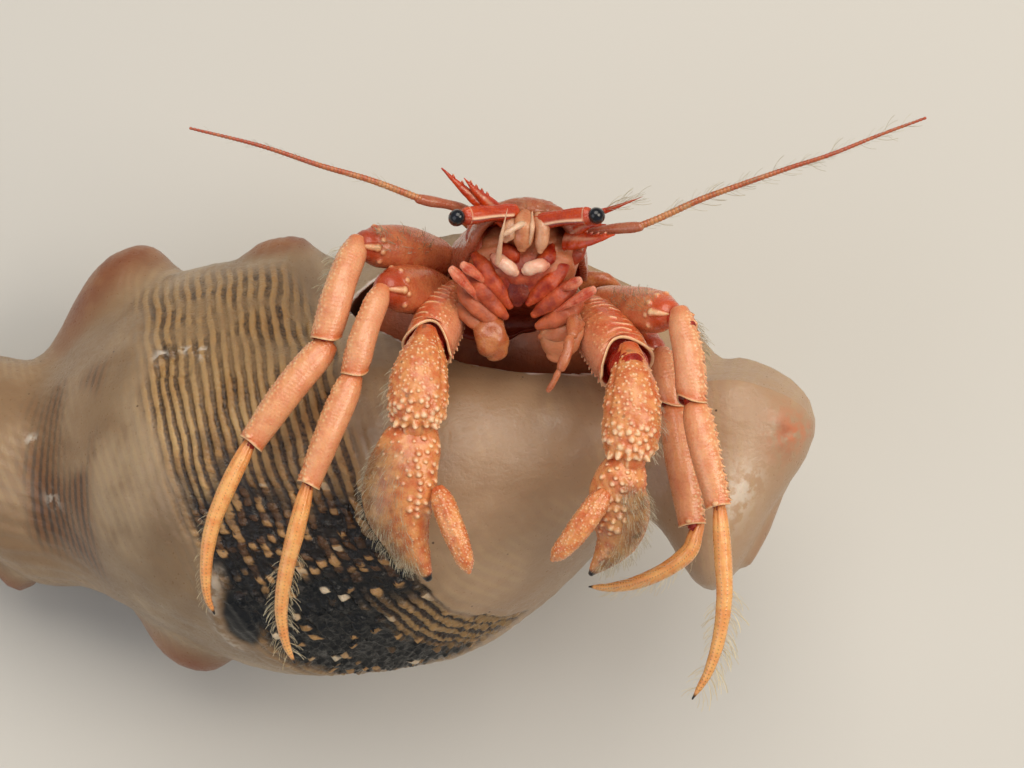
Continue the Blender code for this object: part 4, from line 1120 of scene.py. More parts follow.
def flesh():
    """Trunk and soft tail as one piece of flesh, pink at the flanks, with painted shade low on the
    trunk and on the tail inside the shell.
    """
    tail = hollow_grid(1.25, 2.6, len(HOLLOW) - 2.0)
    tail = tail + 0.12 * lumps(tail, 2.0, 74)[..., None]
    trunk = trunk_grid()
    turn = np.linspace(0.0, 2.0 * math.pi, trunk.shape[1], endpoint=False)
    flank = ease((np.abs(np.cos(turn)) - 0.45) / 0.35)[None, :]
    high = ease((trunk[..., 2] - 50.0) / 6.0)
    # painted shade: the trunk darkens toward its foot, where it goes down into the shell, and the
    # tail inside the shell is darker all over
    low = 1.0 - ease((trunk[..., 2] - 46.0) / 8.0)
    marks = ({"pink": 0.8 * flank * high, "dark": 0.7 * low}, {"pink": 0.55, "dark": 0.25})
    return join_tubes("trunk_flesh", (trunk, tail), marks)


def shield():
    """The hard plate over the back and sides of the head, a thin sheet of even thickness."""
    rows = np.linspace(0, len(SHIELD) - 1, 110)[:, None]
    height, middle_x, middle_y, wide, deep = table_rows(SHIELD, rows)
    share = np.linspace(-1.0, 1.0, 150)[None, :]
    top = ease((rows - 4.0) / 3.0)
    turn = np.radians(90.0 + (SHIELD_SPREAD - 26.0 * top) * share)
    outer = np.stack(np.broadcast_arrays(middle_x + wide * np.cos(turn),
                                         middle_y + deep * np.sin(turn), height + 0.0 * turn), -1)
    rough = 0.10 * lumps(outer, 1.3, 75) + 0.07 * lumps(outer, 0.5, 76)
    crease = -0.16 * bell(share, 0.0, 0.03) - 0.12 * bell(np.abs(share), 0.55, 0.04)
    out = np.stack(np.broadcast_arrays(np.cos(turn) * (1.0 - 0.8 * top), np.sin(turn)
                                       * (1.0 - 0.8 * top), 0.15 + 0.85 * top + 0.0 * turn), -1)
    out = unit(out)
    inner = outer - out * SHIELD_THICK
    outer = outer + out * (rough + crease * top)[..., None]
    grid = np.concatenate((outer, inner[:, ::-1]), axis=1)
    reddened = 0.5 + 0.5 * lumps(grid, 1.0, 77)
    sides = ease((np.abs(share) - 0.45) / 0.3) * (1.0 - 0.5 * top)
    pale = np.concatenate((sides, sides[:, ::-1]), axis=1)
    soiled = np.concatenate((0.75 * top + 0.0 * share, np.zeros(sides.shape)), axis=1)
    marks = {"flush": 0.35 * reddened, "pink": 0.9 * pale, "soil": soiled * reddened}
    return tube_object("shield_plate", grid, marks)


def eyestalk(name, course, stripe, under):
    """A flattened stalk: orange above, one raised white stripe, deep red below it."""
    limb = Limb(course, 0.98, 1.0, STALK, 0.055, before=0.5, square=0.82)
    limb.roughen(0.03, 0.9, 81)
    trim = ease((limb.along - 0.5) / 0.5) * ease((limb.left + 0.1) / 0.5)
    limb.lift(0.16 * limb.facing(stripe, 13.0) * trim)
    between = stripe + 0.48 * (under - stripe)
    limb.lift(-0.20 * limb.facing(between, 8.0) * trim)
    lines = 0.03 * np.cos(np.radians(limb.degrees) * 16.0) * limb.facing(180.0 - stripe, 50.0)
    limb.lift(lines)
    limb.mark("rim", np.minimum(1.0, 1.5 * limb.facing(stripe, 12.0)) * trim)
    limb.mark("flush", np.minimum(1.0, 1.5 * limb.facing(between, 9.0)) * trim)
    limb.mark("flush", 0.8 * limb.facing(under, 26.0))
    limb.mark("flush", 0.55 * (0.5 + 0.5 * lumps(limb.base * np.array((0.25, 1, 1)), 0.4, 82)))
    limb.lift(0.05 * bell(limb.left, 0.10, 0.14))
    limb.mark("rim", 0.7 * bell(limb.left, 0.22, 0.08))
    return limb.finish(name, 0.4)


def cornea(name, middle, way, wide, high):
    """The black oval of an eye, faintly faceted."""
    way = unit(np.array(way, dtype=float))
    middle = np.array(middle, dtype=float) + 0.22 * way
    shape = [(0.5 - 0.5 * math.cos(turn), 0.86 * math.sin(turn), math.sin(turn))
             for turn in np.linspace(0.12, math.pi - 0.12, 13)]
    course = (middle - way * wide, middle, middle + way * wide)
    limb = Limb(course, high, high, shape, 0.055)
    return tube_object(name, limb.points)


def whip(name, course, thick, thin):
    """A feeler of many short rings."""
    shape = [(step / 14.0, 1.0 - (1.0 - thin / thick) * step / 14.0,
              1.0 - (1.0 - thin / thick) * step / 14.0) for step in range(15)]
    limb = Limb(course, thick, thick, shape, 0.11)
    ring = np.cos(2.0 * math.pi * limb.along / FEELER_RING)
    limb.lift(0.022 * ring)
    limb.mark("flush", 0.25 + 0.65 * ease(limb.share * 1.3))
    limb.mark("soil", 0.6 * ease((-ring - 0.2) / 0.7))
    return limb.finish(name, 0.2)


def feeler_scale(name, course, width, depth, degrees):
    """A flat spike beside a feeler's root, toothed along one edge."""
    limb = Limb(course, width, depth, SPINE, 0.07, square=0.9)
    limb.knobs(limb.row(4, (0.4, 0.82), (degrees, degrees)), 0.26, 0.24, 1.5, 1.2)
    limb.roughen(0.05, 0.6, 83)
    limb.mark("flush", 0.35 + 0.3 * lumps(limb.base, 0.5, 84))
    limb.mark("rim", 0.5 * limb.facing(90.0, 14.0) * ease((0.8 - limb.share) / 0.3))
    return limb.finish(name, 0.3)


def jaw(name, course, width, depth, root):
    """A smooth chalk-white jaw plate, pink toward the end given as its root."""
    limb = Limb(course, width, depth, PLUMP, 0.06)
    limb.roughen(0.02, 0.7, 85)
    limb.mark("pink", 0.8 * ease((0.55 - np.abs(limb.share - root)) / 0.5))
    return limb.finish(name, 0.3)


def make_head():
    """Flesh, shield, eyes, feelers and mouth pieces."""
    flesh_skin = soft_skin_finish("mouth_flesh", "#94331d", "#bf5a38", 0.3)
    leaf_skin = soft_skin_finish("mouth_leaf_skin", "#8c1c08", "#bf4c1e", 0.36)
    palp_skin = soft_skin_finish("palp_skin", "#b8482c", "#d67a58", 0.2)
    shield_shell = cuticle_finish("shield_cuticle", "#b5714a", "#a8431f", "#d9b48c", "#a8624a")
    stalk_shell = cuticle_finish("eyestalk_cuticle", "#cc4a0e", "#a42806", "#f2cca8", "#c44a16")
    pale_shell = cuticle_finish("pale_lip_cuticle", "#cf8f63", "#b8683f", "#e3c6a6", "#b87b5c")
    foot_shell = cuticle_finish("mouth_leg_cuticle", "#c07846", "#a34a24", "#e0b083", "#b8694a")
    jaw_shell = cuticle_finish("jaw_chalk", "#ecc2a6", "#dc9c80", "#f4dcc8", "#cf7a5e", 0.2)
    whip_shell = cuticle_finish("feeler_cuticle", "#c98f56", "#ad4524", "#ddb27c", "#b5683c")
    black = cornea_finish()
    settle(flesh(), flesh_skin, "red_membrane", "trunk", "abdomen")
    settle(shield(), shield_shell, "orange_cuticle", "shield")
    # side, stalk course, edge that carries the pale stripe, lower edge, eye centre, its way
    eyes = (
        ("right", ((17.9, 24.0, 62.8), (15.4, 23.3, 64.5), (12.9, 22.6, 65.9)), 133.0, 178.0,
         (12.0, 22.3, 66.3), (-0.86, -0.2, 0.42)),
        ("left", ((21.4, 22.9, 62.8), (24.0, 22.8, 64.6), (26.5, 22.6, 65.9)), 47.0, 2.0,
         (27.3, 22.5, 66.3), (0.88, -0.02, 0.42)),
    )
    for side, course, stripe, under, middle, way in eyes:
        settle(eyestalk(side + "_eyestalk_piece", course, stripe, under), stalk_shell,
               "orange_cuticle", side + "_eyestalk")
        settle(cornea(side + "_cornea", middle, way, 0.94, 1.1), black, "eye_black",
               side + "_eye")
    # roots of the feelers and the feelers
    roots = (
        ("right", ((13.2, 24.6, 60.8), (10.9, 24.9, 62.6), (7.4, 25.0, 64.6))),
        ("left", ((26.2, 22.0, 60.8), (29.2, 21.9, 63.0), (32.5, 21.7, 64.8))),
    )
    for side, course in roots:
        settle(plain_limb(side + "_feeler_root", course, 0.62, 0.6, ROD, 0.08, flush=0.15,
                          pink=0.5), shield_shell, "orange_cuticle", side + "_feeler_base")
    for side, course in FEELERS.items():
        settle(whip(side + "_feeler_whip", course, 0.42, 0.15), whip_shell, "golden_cuticle",
               side + "_feeler")
    scales = {
        "right": ((((17.2, 23.6, 61.4), (13.2, 25.6, 64.4), (10.1, 27.8, 67.2)), 1.15, 0.6, 0.0),
                  (((16.4, 24.2, 62.0), (14.2, 25.6, 64.6), (12.6, 26.9, 66.4)), 1.0, 0.55, 0.0)),
        "left": ((((24.2, 21.2, 61.0), (26.8, 20.6, 63.2), (29.6, 20.8, 64.6)), 1.3, 0.6, 180.0),
                 (((25.0, 21.8, 61.6), (26.6, 22.2, 63.4), (28.6, 22.0, 64.6)), 0.8, 0.5, 180.0)),
    }
    for side, spikes in scales.items():
        made = [feeler_scale("spike", course, width, depth, degrees)
                for course, width, depth, degrees in spikes]
        settle(join_pieces(side + "_feeler_spikes", made), stalk_shell, "orange_cuticle",
               side + "_feeler_scale")
    settle(plain_limb("right_inner_feeler_rod", ((16.4, 18.3, 61.9), (16.8, 20.6, 64.4),
                                                 (17.5, 23.5, 65.9)), 0.36, 0.3, SPINE, 0.06,
                      0.03, rim=0.7), pale_shell, "pink_cuticle", "right_inner_feeler")
    settle(plain_limb("left_inner_feeler_rod", LEFT_INNER_FEELER, 0.42, 0.34, SPINE, 0.06, 0.03,
                      flush=0.3), stalk_shell, "orange_cuticle", "left_inner_feeler")
    # the upper lip: folds that run down from between the eyestalks
    folds = (
        (((19.5, 24.4, 62.2), (19.4, 22.0, 63.4), (19.2, 19.9, 62.0)), 1.25, 0.9, 0.0),
        (((20.9, 24.0, 62.4), (21.4, 22.0, 63.2), (21.2, 19.6, 61.9)), 0.85, 0.8, 0.3),
        (((18.2, 23.6, 62.2), (17.9, 22.0, 63.2), (17.2, 20.6, 63.0)), 0.9, 0.6, 0.35),
        (((16.9, 20.8, 64.3), (18.2, 21.6, 64.5), (19.6, 22.4, 64.0)), 0.34, 0.28, 0.8),
        (((20.3, 23.6, 63.4), (20.3, 21.6, 64.2), (20.0, 20.2, 63.0)), 0.3, 0.3, 0.6),
    )
    lip = [plain_limb("fold", course, width, depth, LEAF, 0.07, 0.14, rim=rim, flush=0.12)
           for course, width, depth, rim in folds]
    settle(join_pieces("upper_lip_folds", lip), pale_shell, "pink_cuticle", "upper_lip")
    jaws = (("right", ((15.9, 19.3, 60.9), (17.2, 18.2, 61.5), (18.4, 17.3, 61.0)), 0.76, 0.0),
            ("left", ((19.4, 17.5, 61.0), (20.6, 17.9, 61.5), (21.9, 18.3, 60.9)), 0.8, 1.0))
    for side, course, width, root in jaws:
        settle(jaw(side + "_jaw_plate", course, width, 0.8, root), jaw_shell, "white_tooth",
               side + "_jaw")
    # the leaves' dark mark is painted shade round the middle of the mouth
    leaves = [plain_limb("leaf", course, width, depth, LEAF, 0.1, 0.14, pink=pink, dark=dark)
              for course, width, depth, pink, dark in MOUTH_LEAVES]
    settle(join_pieces("mouth_leaves", leaves), leaf_skin, "red_membrane")
    settle(plain_limb("right_mouth_leg_piece", ((15.0, 15.2, 54.4), (15.2, 13.0, 56.4),
                                                (15.6, 10.8, 57.0), (16.2, 9.1, 55.8)),
                      1.9, 1.2, FLAT_END, 0.1, 0.16, square=0.85),
           foot_shell, "orange_cuticle", "right_mouth_leg")
    parts = ((((25.2, 14.6, 55.6), (25.0, 12.8, 58.4), (24.9, 10.2, 60.2)), 0.72, 0.62),
             (((24.6, 9.8, 60.4), (24.3, 8.2, 60.8), (23.6, 6.3, 60.4)), 0.62, 0.56),
             (((23.3, 6.0, 60.2), (22.8, 5.0, 59.8), (22.1, 4.0, 59.0)), 0.36, 0.34))
    steps = [plain_limb("step", course, width, depth, ROD, 0.07, 0.06, flush=0.1, pink=0.5)
             for course, width, depth in parts]
    settle(join_pieces("left_mouth_leg_piece", steps), foot_shell, "orange_cuticle",
           "left_mouth_leg")
    palps = {
        "right": (((15.4, 13.6, 57.2), (13.2, 15.6, 60.2), (11.1, 17.5, 62.0)),
                  ((15.9, 15.9, 58.6), (14.2, 17.0, 60.6), (12.4, 18.0, 62.0))),
        "left": (((21.8, 13.0, 57.6), (24.8, 14.0, 60.4), (27.3, 15.1, 62.0)),
                 ((22.6, 15.8, 58.8), (24.3, 15.8, 60.6), (25.7, 16.2, 61.8))),
    }
    for side, courses in palps.items():
        settle(join_pieces(side + "_mouth_paddles", [paddle("paddle", course)
                                                     for course in courses]),
               palp_skin, "red_membrane", side + "_mouth_paddle")
    hind = {"right_leg_3": ((8.2, 22.4, 42.0), (5.4, 23.4, 42.6), (3.2, 22.6, 38.6)),
            "right_leg_4": ((14.0, 28.6, 41.4), (11.6, 30.2, 41.0), (10.4, 30.4, 37.2)),
            "left_leg_3": ((26.6, 21.4, 41.6), (29.6, 21.4, 42.6), (32.2, 20.4, 40.6)),
            "left_leg_4": ((21.2, 28.4, 41.4), (23.6, 29.8, 41.0), (25.0, 29.8, 37.6))}
    for name, course in hind.items():
        settle(plain_limb(name + "_piece", course, 1.3, 1.2, SPINE, 0.12, 0.08, flush=0.2),
               foot_shell, "pink_cuticle", name)


def paddle(name, course):
    """A soft palp, rounded at its tip, with a pale edge."""
    limb = Limb(course, 0.66, 0.36, PADDLE, 0.06)
    limb.roughen(0.04, 0.8, 86)
    limb.lift(-0.10 * limb.facing(90.0, 20.0) * ease((limb.share - 0.4) / 0.3))
    edge = limb.facing(0.0, 24.0) + limb.facing(180.0, 24.0)
    limb.mark("rim", 0.55 * np.minimum(1.0, edge + bell(limb.left, 0.0, 0.25)))
    return limb.finish(name, 0.3)


def join_pieces(name, pieces):
    """One object of several meshes that all sit at the origin."""
    work = bmesh.new()
    for piece in pieces:
        work.from_mesh(piece.data)
    mesh = bpy.data.meshes.new(name)
    work.to_mesh(mesh)
    work.free()
    for piece in pieces:
        bpy.data.objects.remove(piece)
    return stand(name, mesh)


# ---- finishes
SHELL_MARKS = ("cord", "place", "bare", "grain", "black", "gold", "rust", "scar",
               "inside", "depth", "lip", "chalk_and_glint", "pit", "haze", "lot", "crown", "spire")


def colour(code):
    """A colour given as sRGB hex, as linear light."""
    parts = [int(code[index:index + 2], 16) / 255.0 for index in (1, 3, 5)]
    linear = [p / 12.92 if p <= 0.04045 else ((p + 0.055) / 1.055) ** 2.4 for p in parts]
    return (*linear, 1.0)


def node(tree, kind, inputs=(), out=0, **settings):
    """Add a node with its settings and its links, and hand back one of its outputs."""
    made = tree.nodes.new(kind)
    for setting, value in settings.items():
        setattr(made, setting, value)
    for key, value in dict(inputs).items():
        if isinstance(value, bpy.types.NodeSocket):
            tree.links.new(value, made.inputs[key])
        else:
            made.inputs[key].default_value = value
    return None if out is None else made.outputs[out]


def new_finish(name):
    """An empty material, its tree, its shader and the object's own coordinates."""
    made = bpy.data.materials.new(name)
    made.use_nodes = True
    tree = made.node_tree
    return made, tree, tree.nodes["Principled BSDF"], node(tree, "ShaderNodeTexCoord", out="Object")


def finish_surface(tree, shader, linked, plain):
    """Join a finish's worked-out values and its plain numbers to its shader."""
    for name, socket in linked.items():
        tree.links.new(socket, shader.inputs[name])
    for name, value in plain.items():
        shader.inputs[name].default_value = value


def shell_finish():
    """Sponge-like living cover over a horny shell skin; wet, so it shines softly.

    The cover is a milky beige jelly with dark specks. Where it is worn away the horny
    skin shows tan cords with brown grooves, and black broken skin low on the front.
    """
    finish, tree, shader, where = new_finish("overgrown_horny_shell")
    mark = {name: node(tree, "ShaderNodeAttribute", out="Fac", attribute_name=name)
            for name in SHELL_MARKS}
    # lumps of these sizes in millimetres, from broad clouds to fine grain
    noise = {name: node(tree, "ShaderNodeTexNoise",
                        {"Vector": where, "Scale": 1.0 / (size * MM), "Detail": detail}, "Fac")
             for name, size, detail in (("cloud", 15.0, 4.0), ("blot", 4.2, 6.0),
                                        ("crumb", 1.3, 5.0), ("grit", 0.45, 4.0))}
    specks = node(tree, "ShaderNodeTexVoronoi", {"Vector": where, "Scale": 1.0 / (2.1 * MM)},
                  "Distance")
    tone = node(tree, "ShaderNodeTexVoronoi", {"Vector": where, "Scale": 1.0 / (2.1 * MM)}, "Color")
    tone = node(tree, "ShaderNodeSeparateColor", {0: tone})
    wave = node(tree, "ShaderNodeMath", {0: mark["cord"], 1: 2.0 * math.pi / CORD_PITCH},
                operation="MULTIPLY")
    wave = node(tree, "ShaderNodeMath", {0: wave}, operation="COSINE")
    rib = node(tree, "ShaderNodeMath", {0: mark["place"], 1: 2.0 * math.pi / RIB_PITCH},
               operation="MULTIPLY")
    rib = node(tree, "ShaderNodeMath", {0: rib}, operation="COSINE")
    frayed = node(tree, "ShaderNodeMath", {0: noise["crumb"], 1: 2.4, 2: wave},
                  operation="MULTIPLY_ADD")
    # shares from 0 to 1 between two levels, then scaled
    share = {}
    for name, source, low, high, most in (
        ("pale", noise["cloud"], 0.36, 0.66, 1.0), ("dusky", noise["blot"], 0.44, 0.76, 0.6),
        ("face", mark["place"], 16.0, 28.0, 0.45), ("end", mark["place"], 42.0, 56.0, 0.45),
        ("old", mark["place"], -17.0, -27.0, 0.45), ("thin", noise["cloud"], 0.44, 0.60, 0.30),
        ("crest", wave, -0.5, 0.9, 1.0), ("rusty", noise["blot"], 0.35, 0.68, 1.0),
        ("ribbed", rib, -0.9, 0.6, 1.0), ("speck", specks, 0.10, 0.04, 1.0),
        ("chosen", tone, 0.74, 0.80, 0.9), ("raw", noise["grit"], 0.4, 0.65, 1.0),
        ("cut", frayed, 0.55, 1.75, 1.0), ("tan", noise["blot"], 0.34, 0.66, 1.0),
        ("block", mark["crown"], 0.12, 0.5, 1.0), ("brown", mark["lot"], 0.30, 0.46, 1.0),
        ("straw", mark["lot"], 0.62, 0.86, 1.0), ("white", mark["lot"], 0.972, 0.985, 0.7),
        ("tarred", mark["lot"], 0.95, 0.86, 1.0), ("deep", mark["depth"], 3.0, 14.0, 1.0),
        ("ring", mark["lip"], 0.2, 0.65, 1.0), ("puckered", noise["crumb"], 0.36, 0.60, 1.0),
        ("worn", noise["crumb"], 0.42, 0.56, 1.0),
    ):
        share[name] = node(tree, "ShaderNodeMapRange", {0: source, 1: low, 2: high, 4: most},
                           interpolation_type="SMOOTHSTEP")
    both = {}
    for name, first, second in (
        ("cords", share["crest"], share["thin"]), ("dirt", share["speck"], share["chosen"]),
        ("scar", mark["scar"], share["puckered"]), ("chip", share["white"], mark["crown"]),
        ("smut", mark["black"], share["tarred"]), ("chalk_glint_share", mark["chalk_and_glint"], share["worn"]),
        ("haze", mark["haze"], share["tan"]),
    ):
        both[name] = node(tree, "ShaderNodeMath", {0: first, 1: second}, operation="MULTIPLY")
    # the soft cover, laid on from the ground up
    cover = colour("#8e7252")
    for amount, code in (
        (share["pale"], "#ab9070"), (share["dusky"], "#7d5f41"), (share["face"], "#b39173"),
        (share["end"], "#bd9a7a"), (share["old"], "#967452"), (both["cords"], "#b99d74"),
    ):
        cover = node(tree, "ShaderNodeMix", {0: amount, 6: cover, 7: colour(code)}, 2,
                     data_type="RGBA")
    knob = node(tree, "ShaderNodeMix", {0: share["rusty"], 6: colour("#803f1e"),
                                        7: colour("#98613a")}, 2, data_type="RGBA")
    ribs = node(tree, "ShaderNodeMix", {0: share["ribbed"], 6: colour("#331a0c"),
                                        7: colour("#754722")}, 2, data_type="RGBA")
    flesh = node(tree, "ShaderNodeMix", {0: share["dusky"], 6: colour("#c47a55"),
                                         7: colour("#7d2c1c")}, 2, data_type="RGBA")
    for amount, paint in ((mark["rust"], knob), (mark["spire"], ribs),
                          (both["dirt"], colour("#453121")), (both["scar"], flesh)):
        cover = node(tree, "ShaderNodeMix", {0: amount, 6: cover, 7: paint}, 2, data_type="RGBA")
    # horny skin: tan cords and brown grooves, then short broken blocks, then tar-black skin, golden
    # patches and pale chalk that also carries painted highlights
    groove = node(tree, "ShaderNodeMix", {0: share["raw"], 6: colour("#3b2712"),
                                          7: colour("#6e4f2c")}, 2, data_type="RGBA")
    cords = node(tree, "ShaderNodeMix", {0: share["tan"], 6: colour("#a47a45"),
                                         7: colour("#c6a068")}, 2, data_type="RGBA")
    horny = node(tree, "ShaderNodeMix", {0: share["cut"], 6: groove, 7: cords}, 2,
                 data_type="RGBA")
    horny = node(tree, "ShaderNodeMix", {0: both["haze"], 6: horny, 7: colour("#94754f")}, 2,
                 data_type="RGBA")
    block = colour("#150f0a")
    for amount, code in ((share["brown"], "#54371c"), (share["straw"], "#a98150"),
                         (share["white"], "#d9cbb2")):
        block = node(tree, "ShaderNodeMix", {0: amount, 6: block, 7: colour(code)}, 2,
                     data_type="RGBA")
    block = node(tree, "ShaderNodeMix", {0: share["block"], 6: colour("#1c120a"), 7: block}, 2,
                 data_type="RGBA")
    for amount, paint in (
        (mark["grain"], block), (both["smut"], colour("#0c0c0c")),
        (mark["gold"], node(tree, "ShaderNodeMix", {0: share["cut"], 6: colour("#2c1c10"),
                                                    7: colour("#93744a")}, 2, data_type="RGBA")),
        (both["chalk_glint_share"], colour("#c9bfb2")),
    ):
        horny = node(tree, "ShaderNodeMix", {0: amount, 6: horny, 7: paint}, 2, data_type="RGBA")
    # the mouth: smooth porcelain darkened inward by painted shade, and a thin pale lip
    nacre_with_painted_shade = node(tree, "ShaderNodeMix", {0: share["deep"], 6: colour("#c08e70"),
                                         7: colour("#45190f")}, 2, data_type="RGBA")
    whole = node(tree, "ShaderNodeMix", {0: mark["bare"], 6: cover, 7: horny}, 2, data_type="RGBA")
    # pale chalk with painted highlights, the black pit, the inside of the mouth with its painted
    # shade, and the pale lip
    for amount, paint in ((both["chalk_glint_share"], colour("#d3c6b4")), (mark["pit"], colour("#07080a")),
                          (mark["inside"], nacre_with_painted_shade),
                          (share["ring"], colour("#e9d6c8"))):
        whole = node(tree, "ShaderNodeMix", {0: amount, 6: whole, 7: paint}, 2, data_type="RGBA")
    # wet jelly is even, wet horn glints on every broken edge
    rough = node(tree, "ShaderNodeMapRange", {0: noise["grit"], 1: 0.3, 2: 0.7, 3: 0.26, 4: 0.46})
    wet = node(tree, "ShaderNodeMapRange", {0: noise["crumb"], 1: 0.35, 2: 0.65, 3: 0.10, 4: 0.5})
    rough = node(tree, "ShaderNodeMix", {0: mark["grain"], 2: rough, 3: wet}, 0, data_type="FLOAT")
    strength = node(tree, "ShaderNodeMath", {0: mark["bare"], 1: 0.6, 2: 0.25},
                    operation="MULTIPLY_ADD")
    height = node(tree, "ShaderNodeMath", {0: noise["grit"], 1: strength}, operation="MULTIPLY")
    bump = node(tree, "ShaderNodeBump", {"Height": height, "Distance": 0.3 * MM, "Strength": 0.8})
    finish_surface(tree, shader, {"Base Color": whole, "Roughness": rough, "Normal": bump}, {
        "Subsurface Weight": 0.2, "Subsurface Radius": (1.0, 0.55, 0.3),
        "Subsurface Scale": 2.0 * MM, "Specular IOR Level": 0.5})
    return finish


def cuticle_finish(name, ground, deep, pale, inner, shine=0.26):
    """Wet crab shell: a hard chalky skin coloured from within, under a thin gloss.

    The ground colour reddens at the joints and goes cream on every raised tip; the inner
    faces are pinker; grit sits in its hollows and the claws' points are horny black.
    """
    finish, tree, shader, where = new_finish(name)
    mark = {kept: node(tree, "ShaderNodeAttribute", out="Fac", attribute_name=kept)
            for kept in MARKS + ("veil",)}
    mottle, grit = (node(tree, "ShaderNodeTexNoise", {"Vector": where, "Scale": 1.0 / (size * MM),
                                                      "Detail": detail}, "Fac")
                    for size, detail in ((1.3, 5.0), (0.32, 4.0)))
    share = {}
    for kept, source, low, high, least, most in (
        ("warm", mottle, 0.36, 0.66, 0.0, 0.7), ("freckle", grit, 0.58, 0.72, 0.0, 0.55),
        ("blush", mottle, 0.2, 0.6, 0.6, 1.0), ("haze", mottle, 0.35, 0.65, 0.0, 1.0),
    ):
        share[kept] = node(tree, "ShaderNodeMapRange", {0: source, 1: low, 2: high, 3: least,
                                                        4: most}, interpolation_type="SMOOTHSTEP")
    amount = {}
    for kept, first, second in (
        ("flush", mark["flush"], share["blush"]), ("tip", mark["tip"], 0.62),
        ("rim", mark["rim"], 0.8), ("veil", mark["veil"], 0.8), ("soil", mark["soil"], 0.7),
        ("pink", mark["pink"], 0.9),
    ):
        amount[kept] = node(tree, "ShaderNodeMath", {0: first, 1: second}, operation="MULTIPLY")
    film = node(tree, "ShaderNodeMix", {0: share["haze"], 6: colour("#94764c"),
                                        7: colour("#6b5a3c")}, 2, data_type="RGBA")
    skin = colour(ground)
    for much, paint in (
        (share["warm"], colour(deep)), (amount["pink"], colour(inner)),
        (share["freckle"], colour(deep)), (amount["flush"], colour(deep)),
        (amount["tip"], colour(pale)), (amount["rim"], colour(pale)), (amount["veil"], film),
        (mark["socket"], colour("#9a2412")), (amount["soil"], colour("#4f3e2a")),
        (mark["dark"], colour("#160f0b")),
    ):
        skin = node(tree, "ShaderNodeMix", {0: much, 6: skin, 7: paint}, 2, data_type="RGBA")
    rough = node(tree, "ShaderNodeMapRange", {0: grit, 1: 0.3, 2: 0.7, 3: shine - 0.06,
                                              4: shine + 0.12})
    bump = node(tree, "ShaderNodeBump", {"Height": grit, "Distance": 0.14 * MM, "Strength": 0.6})
    finish_surface(tree, shader, {"Base Color": skin, "Roughness": rough, "Normal": bump}, {
        "Subsurface Weight": 0.2, "Subsurface Radius": (1.0, 0.35, 0.18),
        "Subsurface Scale": 0.9 * MM, "Specular IOR Level": 0.5, "Coat Weight": 0.35,
        "Coat Roughness": 0.1})
    return finish


def soft_skin_finish(name, low, high, gloss=0.25):
    """Skin between the hard pieces and mouth flesh: soft, wet and slightly see-through."""
    finish, tree, shader, where = new_finish(name)
    mark = {kept: node(tree, "ShaderNodeAttribute", out="Fac", attribute_name=kept)
            for kept in ("pink", "dark", "rim")}
    mottle, grit = (node(tree, "ShaderNodeTexNoise", {"Vector": where, "Scale": 1.0 / (size * MM),
                                                      "Detail": 5.0}, "Fac")
                    for size in (1.2, 0.3))
    share = node(tree, "ShaderNodeMapRange", {0: mottle, 1: 0.32, 2: 0.7},
                 interpolation_type="SMOOTHSTEP")
    skin = node(tree, "ShaderNodeMix", {0: share, 6: colour(low), 7: colour(high)}, 2,
                data_type="RGBA")
    # the dark mark is painted shade: on the flesh going down into the shell and on the mouth parts
    # under the jaws
    for much, code in ((mark["pink"], "#c27a52"), (mark["rim"], "#e0a183"),
                       (mark["dark"], "#4a0c04")):
        skin = node(tree, "ShaderNodeMix", {0: much, 6: skin, 7: colour(code)}, 2,
                    data_type="RGBA")
    rough = node(tree, "ShaderNodeMapRange", {0: grit, 1: 0.3, 2: 0.7, 3: gloss - 0.05,
                                              4: gloss + 0.15})
    both = node(tree, "ShaderNodeMath", {0: grit, 1: mottle})
    bump = node(tree, "ShaderNodeBump", {"Height": both, "Distance": 0.15 * MM, "Strength": 0.5})
    finish_surface(tree, shader, {"Base Color": skin, "Roughness": rough, "Normal": bump}, {
        "Subsurface Weight": 0.3, "Subsurface Radius": (1.0, 0.25, 0.15),
        "Subsurface Scale": 0.8 * MM, "Specular IOR Level": 0.35, "Coat Weight": 0.08,
        "Coat Roughness": 0.15})
    return finish


def cornea_finish():
    """Black cornea: polished chitin over dark pigment, with a faint blue bloom."""
    finish, tree, shader, where = new_finish("cornea_chitin")
    bloom = node(tree, "ShaderNodeTexNoise", {"Vector": where, "Scale": 1.0 / (0.6 * MM)}, "Fac")
    facets = node(tree, "ShaderNodeTexVoronoi", {"Vector": where, "Scale": 1.0 / (0.06 * MM)},
                  "Distance")
    share = node(tree, "ShaderNodeMapRange", {0: bloom, 1: 0.4, 2: 0.7},
                 interpolation_type="SMOOTHSTEP")
    black = node(tree, "ShaderNodeMix", {0: share, 6: colour("#040407"), 7: colour("#0d0f1c")}, 2,
                 data_type="RGBA")
    bump = node(tree, "ShaderNodeBump", {"Height": facets, "Distance": 0.02 * MM,
                                         "Strength": 0.25})
    finish_surface(tree, shader, {"Base Color": black, "Normal": bump}, {
        "Roughness": 0.16, "Coat Weight": 0.5, "Coat Roughness": 0.05,
        "Specular IOR Level": 0.4})
    return finish


def bristle_finish(name, root, tip):
    """Bristle of horn: thin, pale, half clear, so it shines along its length."""
    finish, tree, shader, _ = new_finish(name)
    lot = node(tree, "ShaderNodeAttribute", out="Fac", attribute_name="lot")
    skin = node(tree, "ShaderNodeMix", {0: lot, 6: colour(root), 7: colour(tip)}, 2,
                data_type="RGBA")
    finish_surface(tree, shader, {"Base Color": skin}, {
        "Roughness": 0.35, "Subsurface Weight": 0.3, "Subsurface Radius": (1.0, 0.7, 0.4),
        "Subsurface Scale": 0.3 * MM})
    return finish


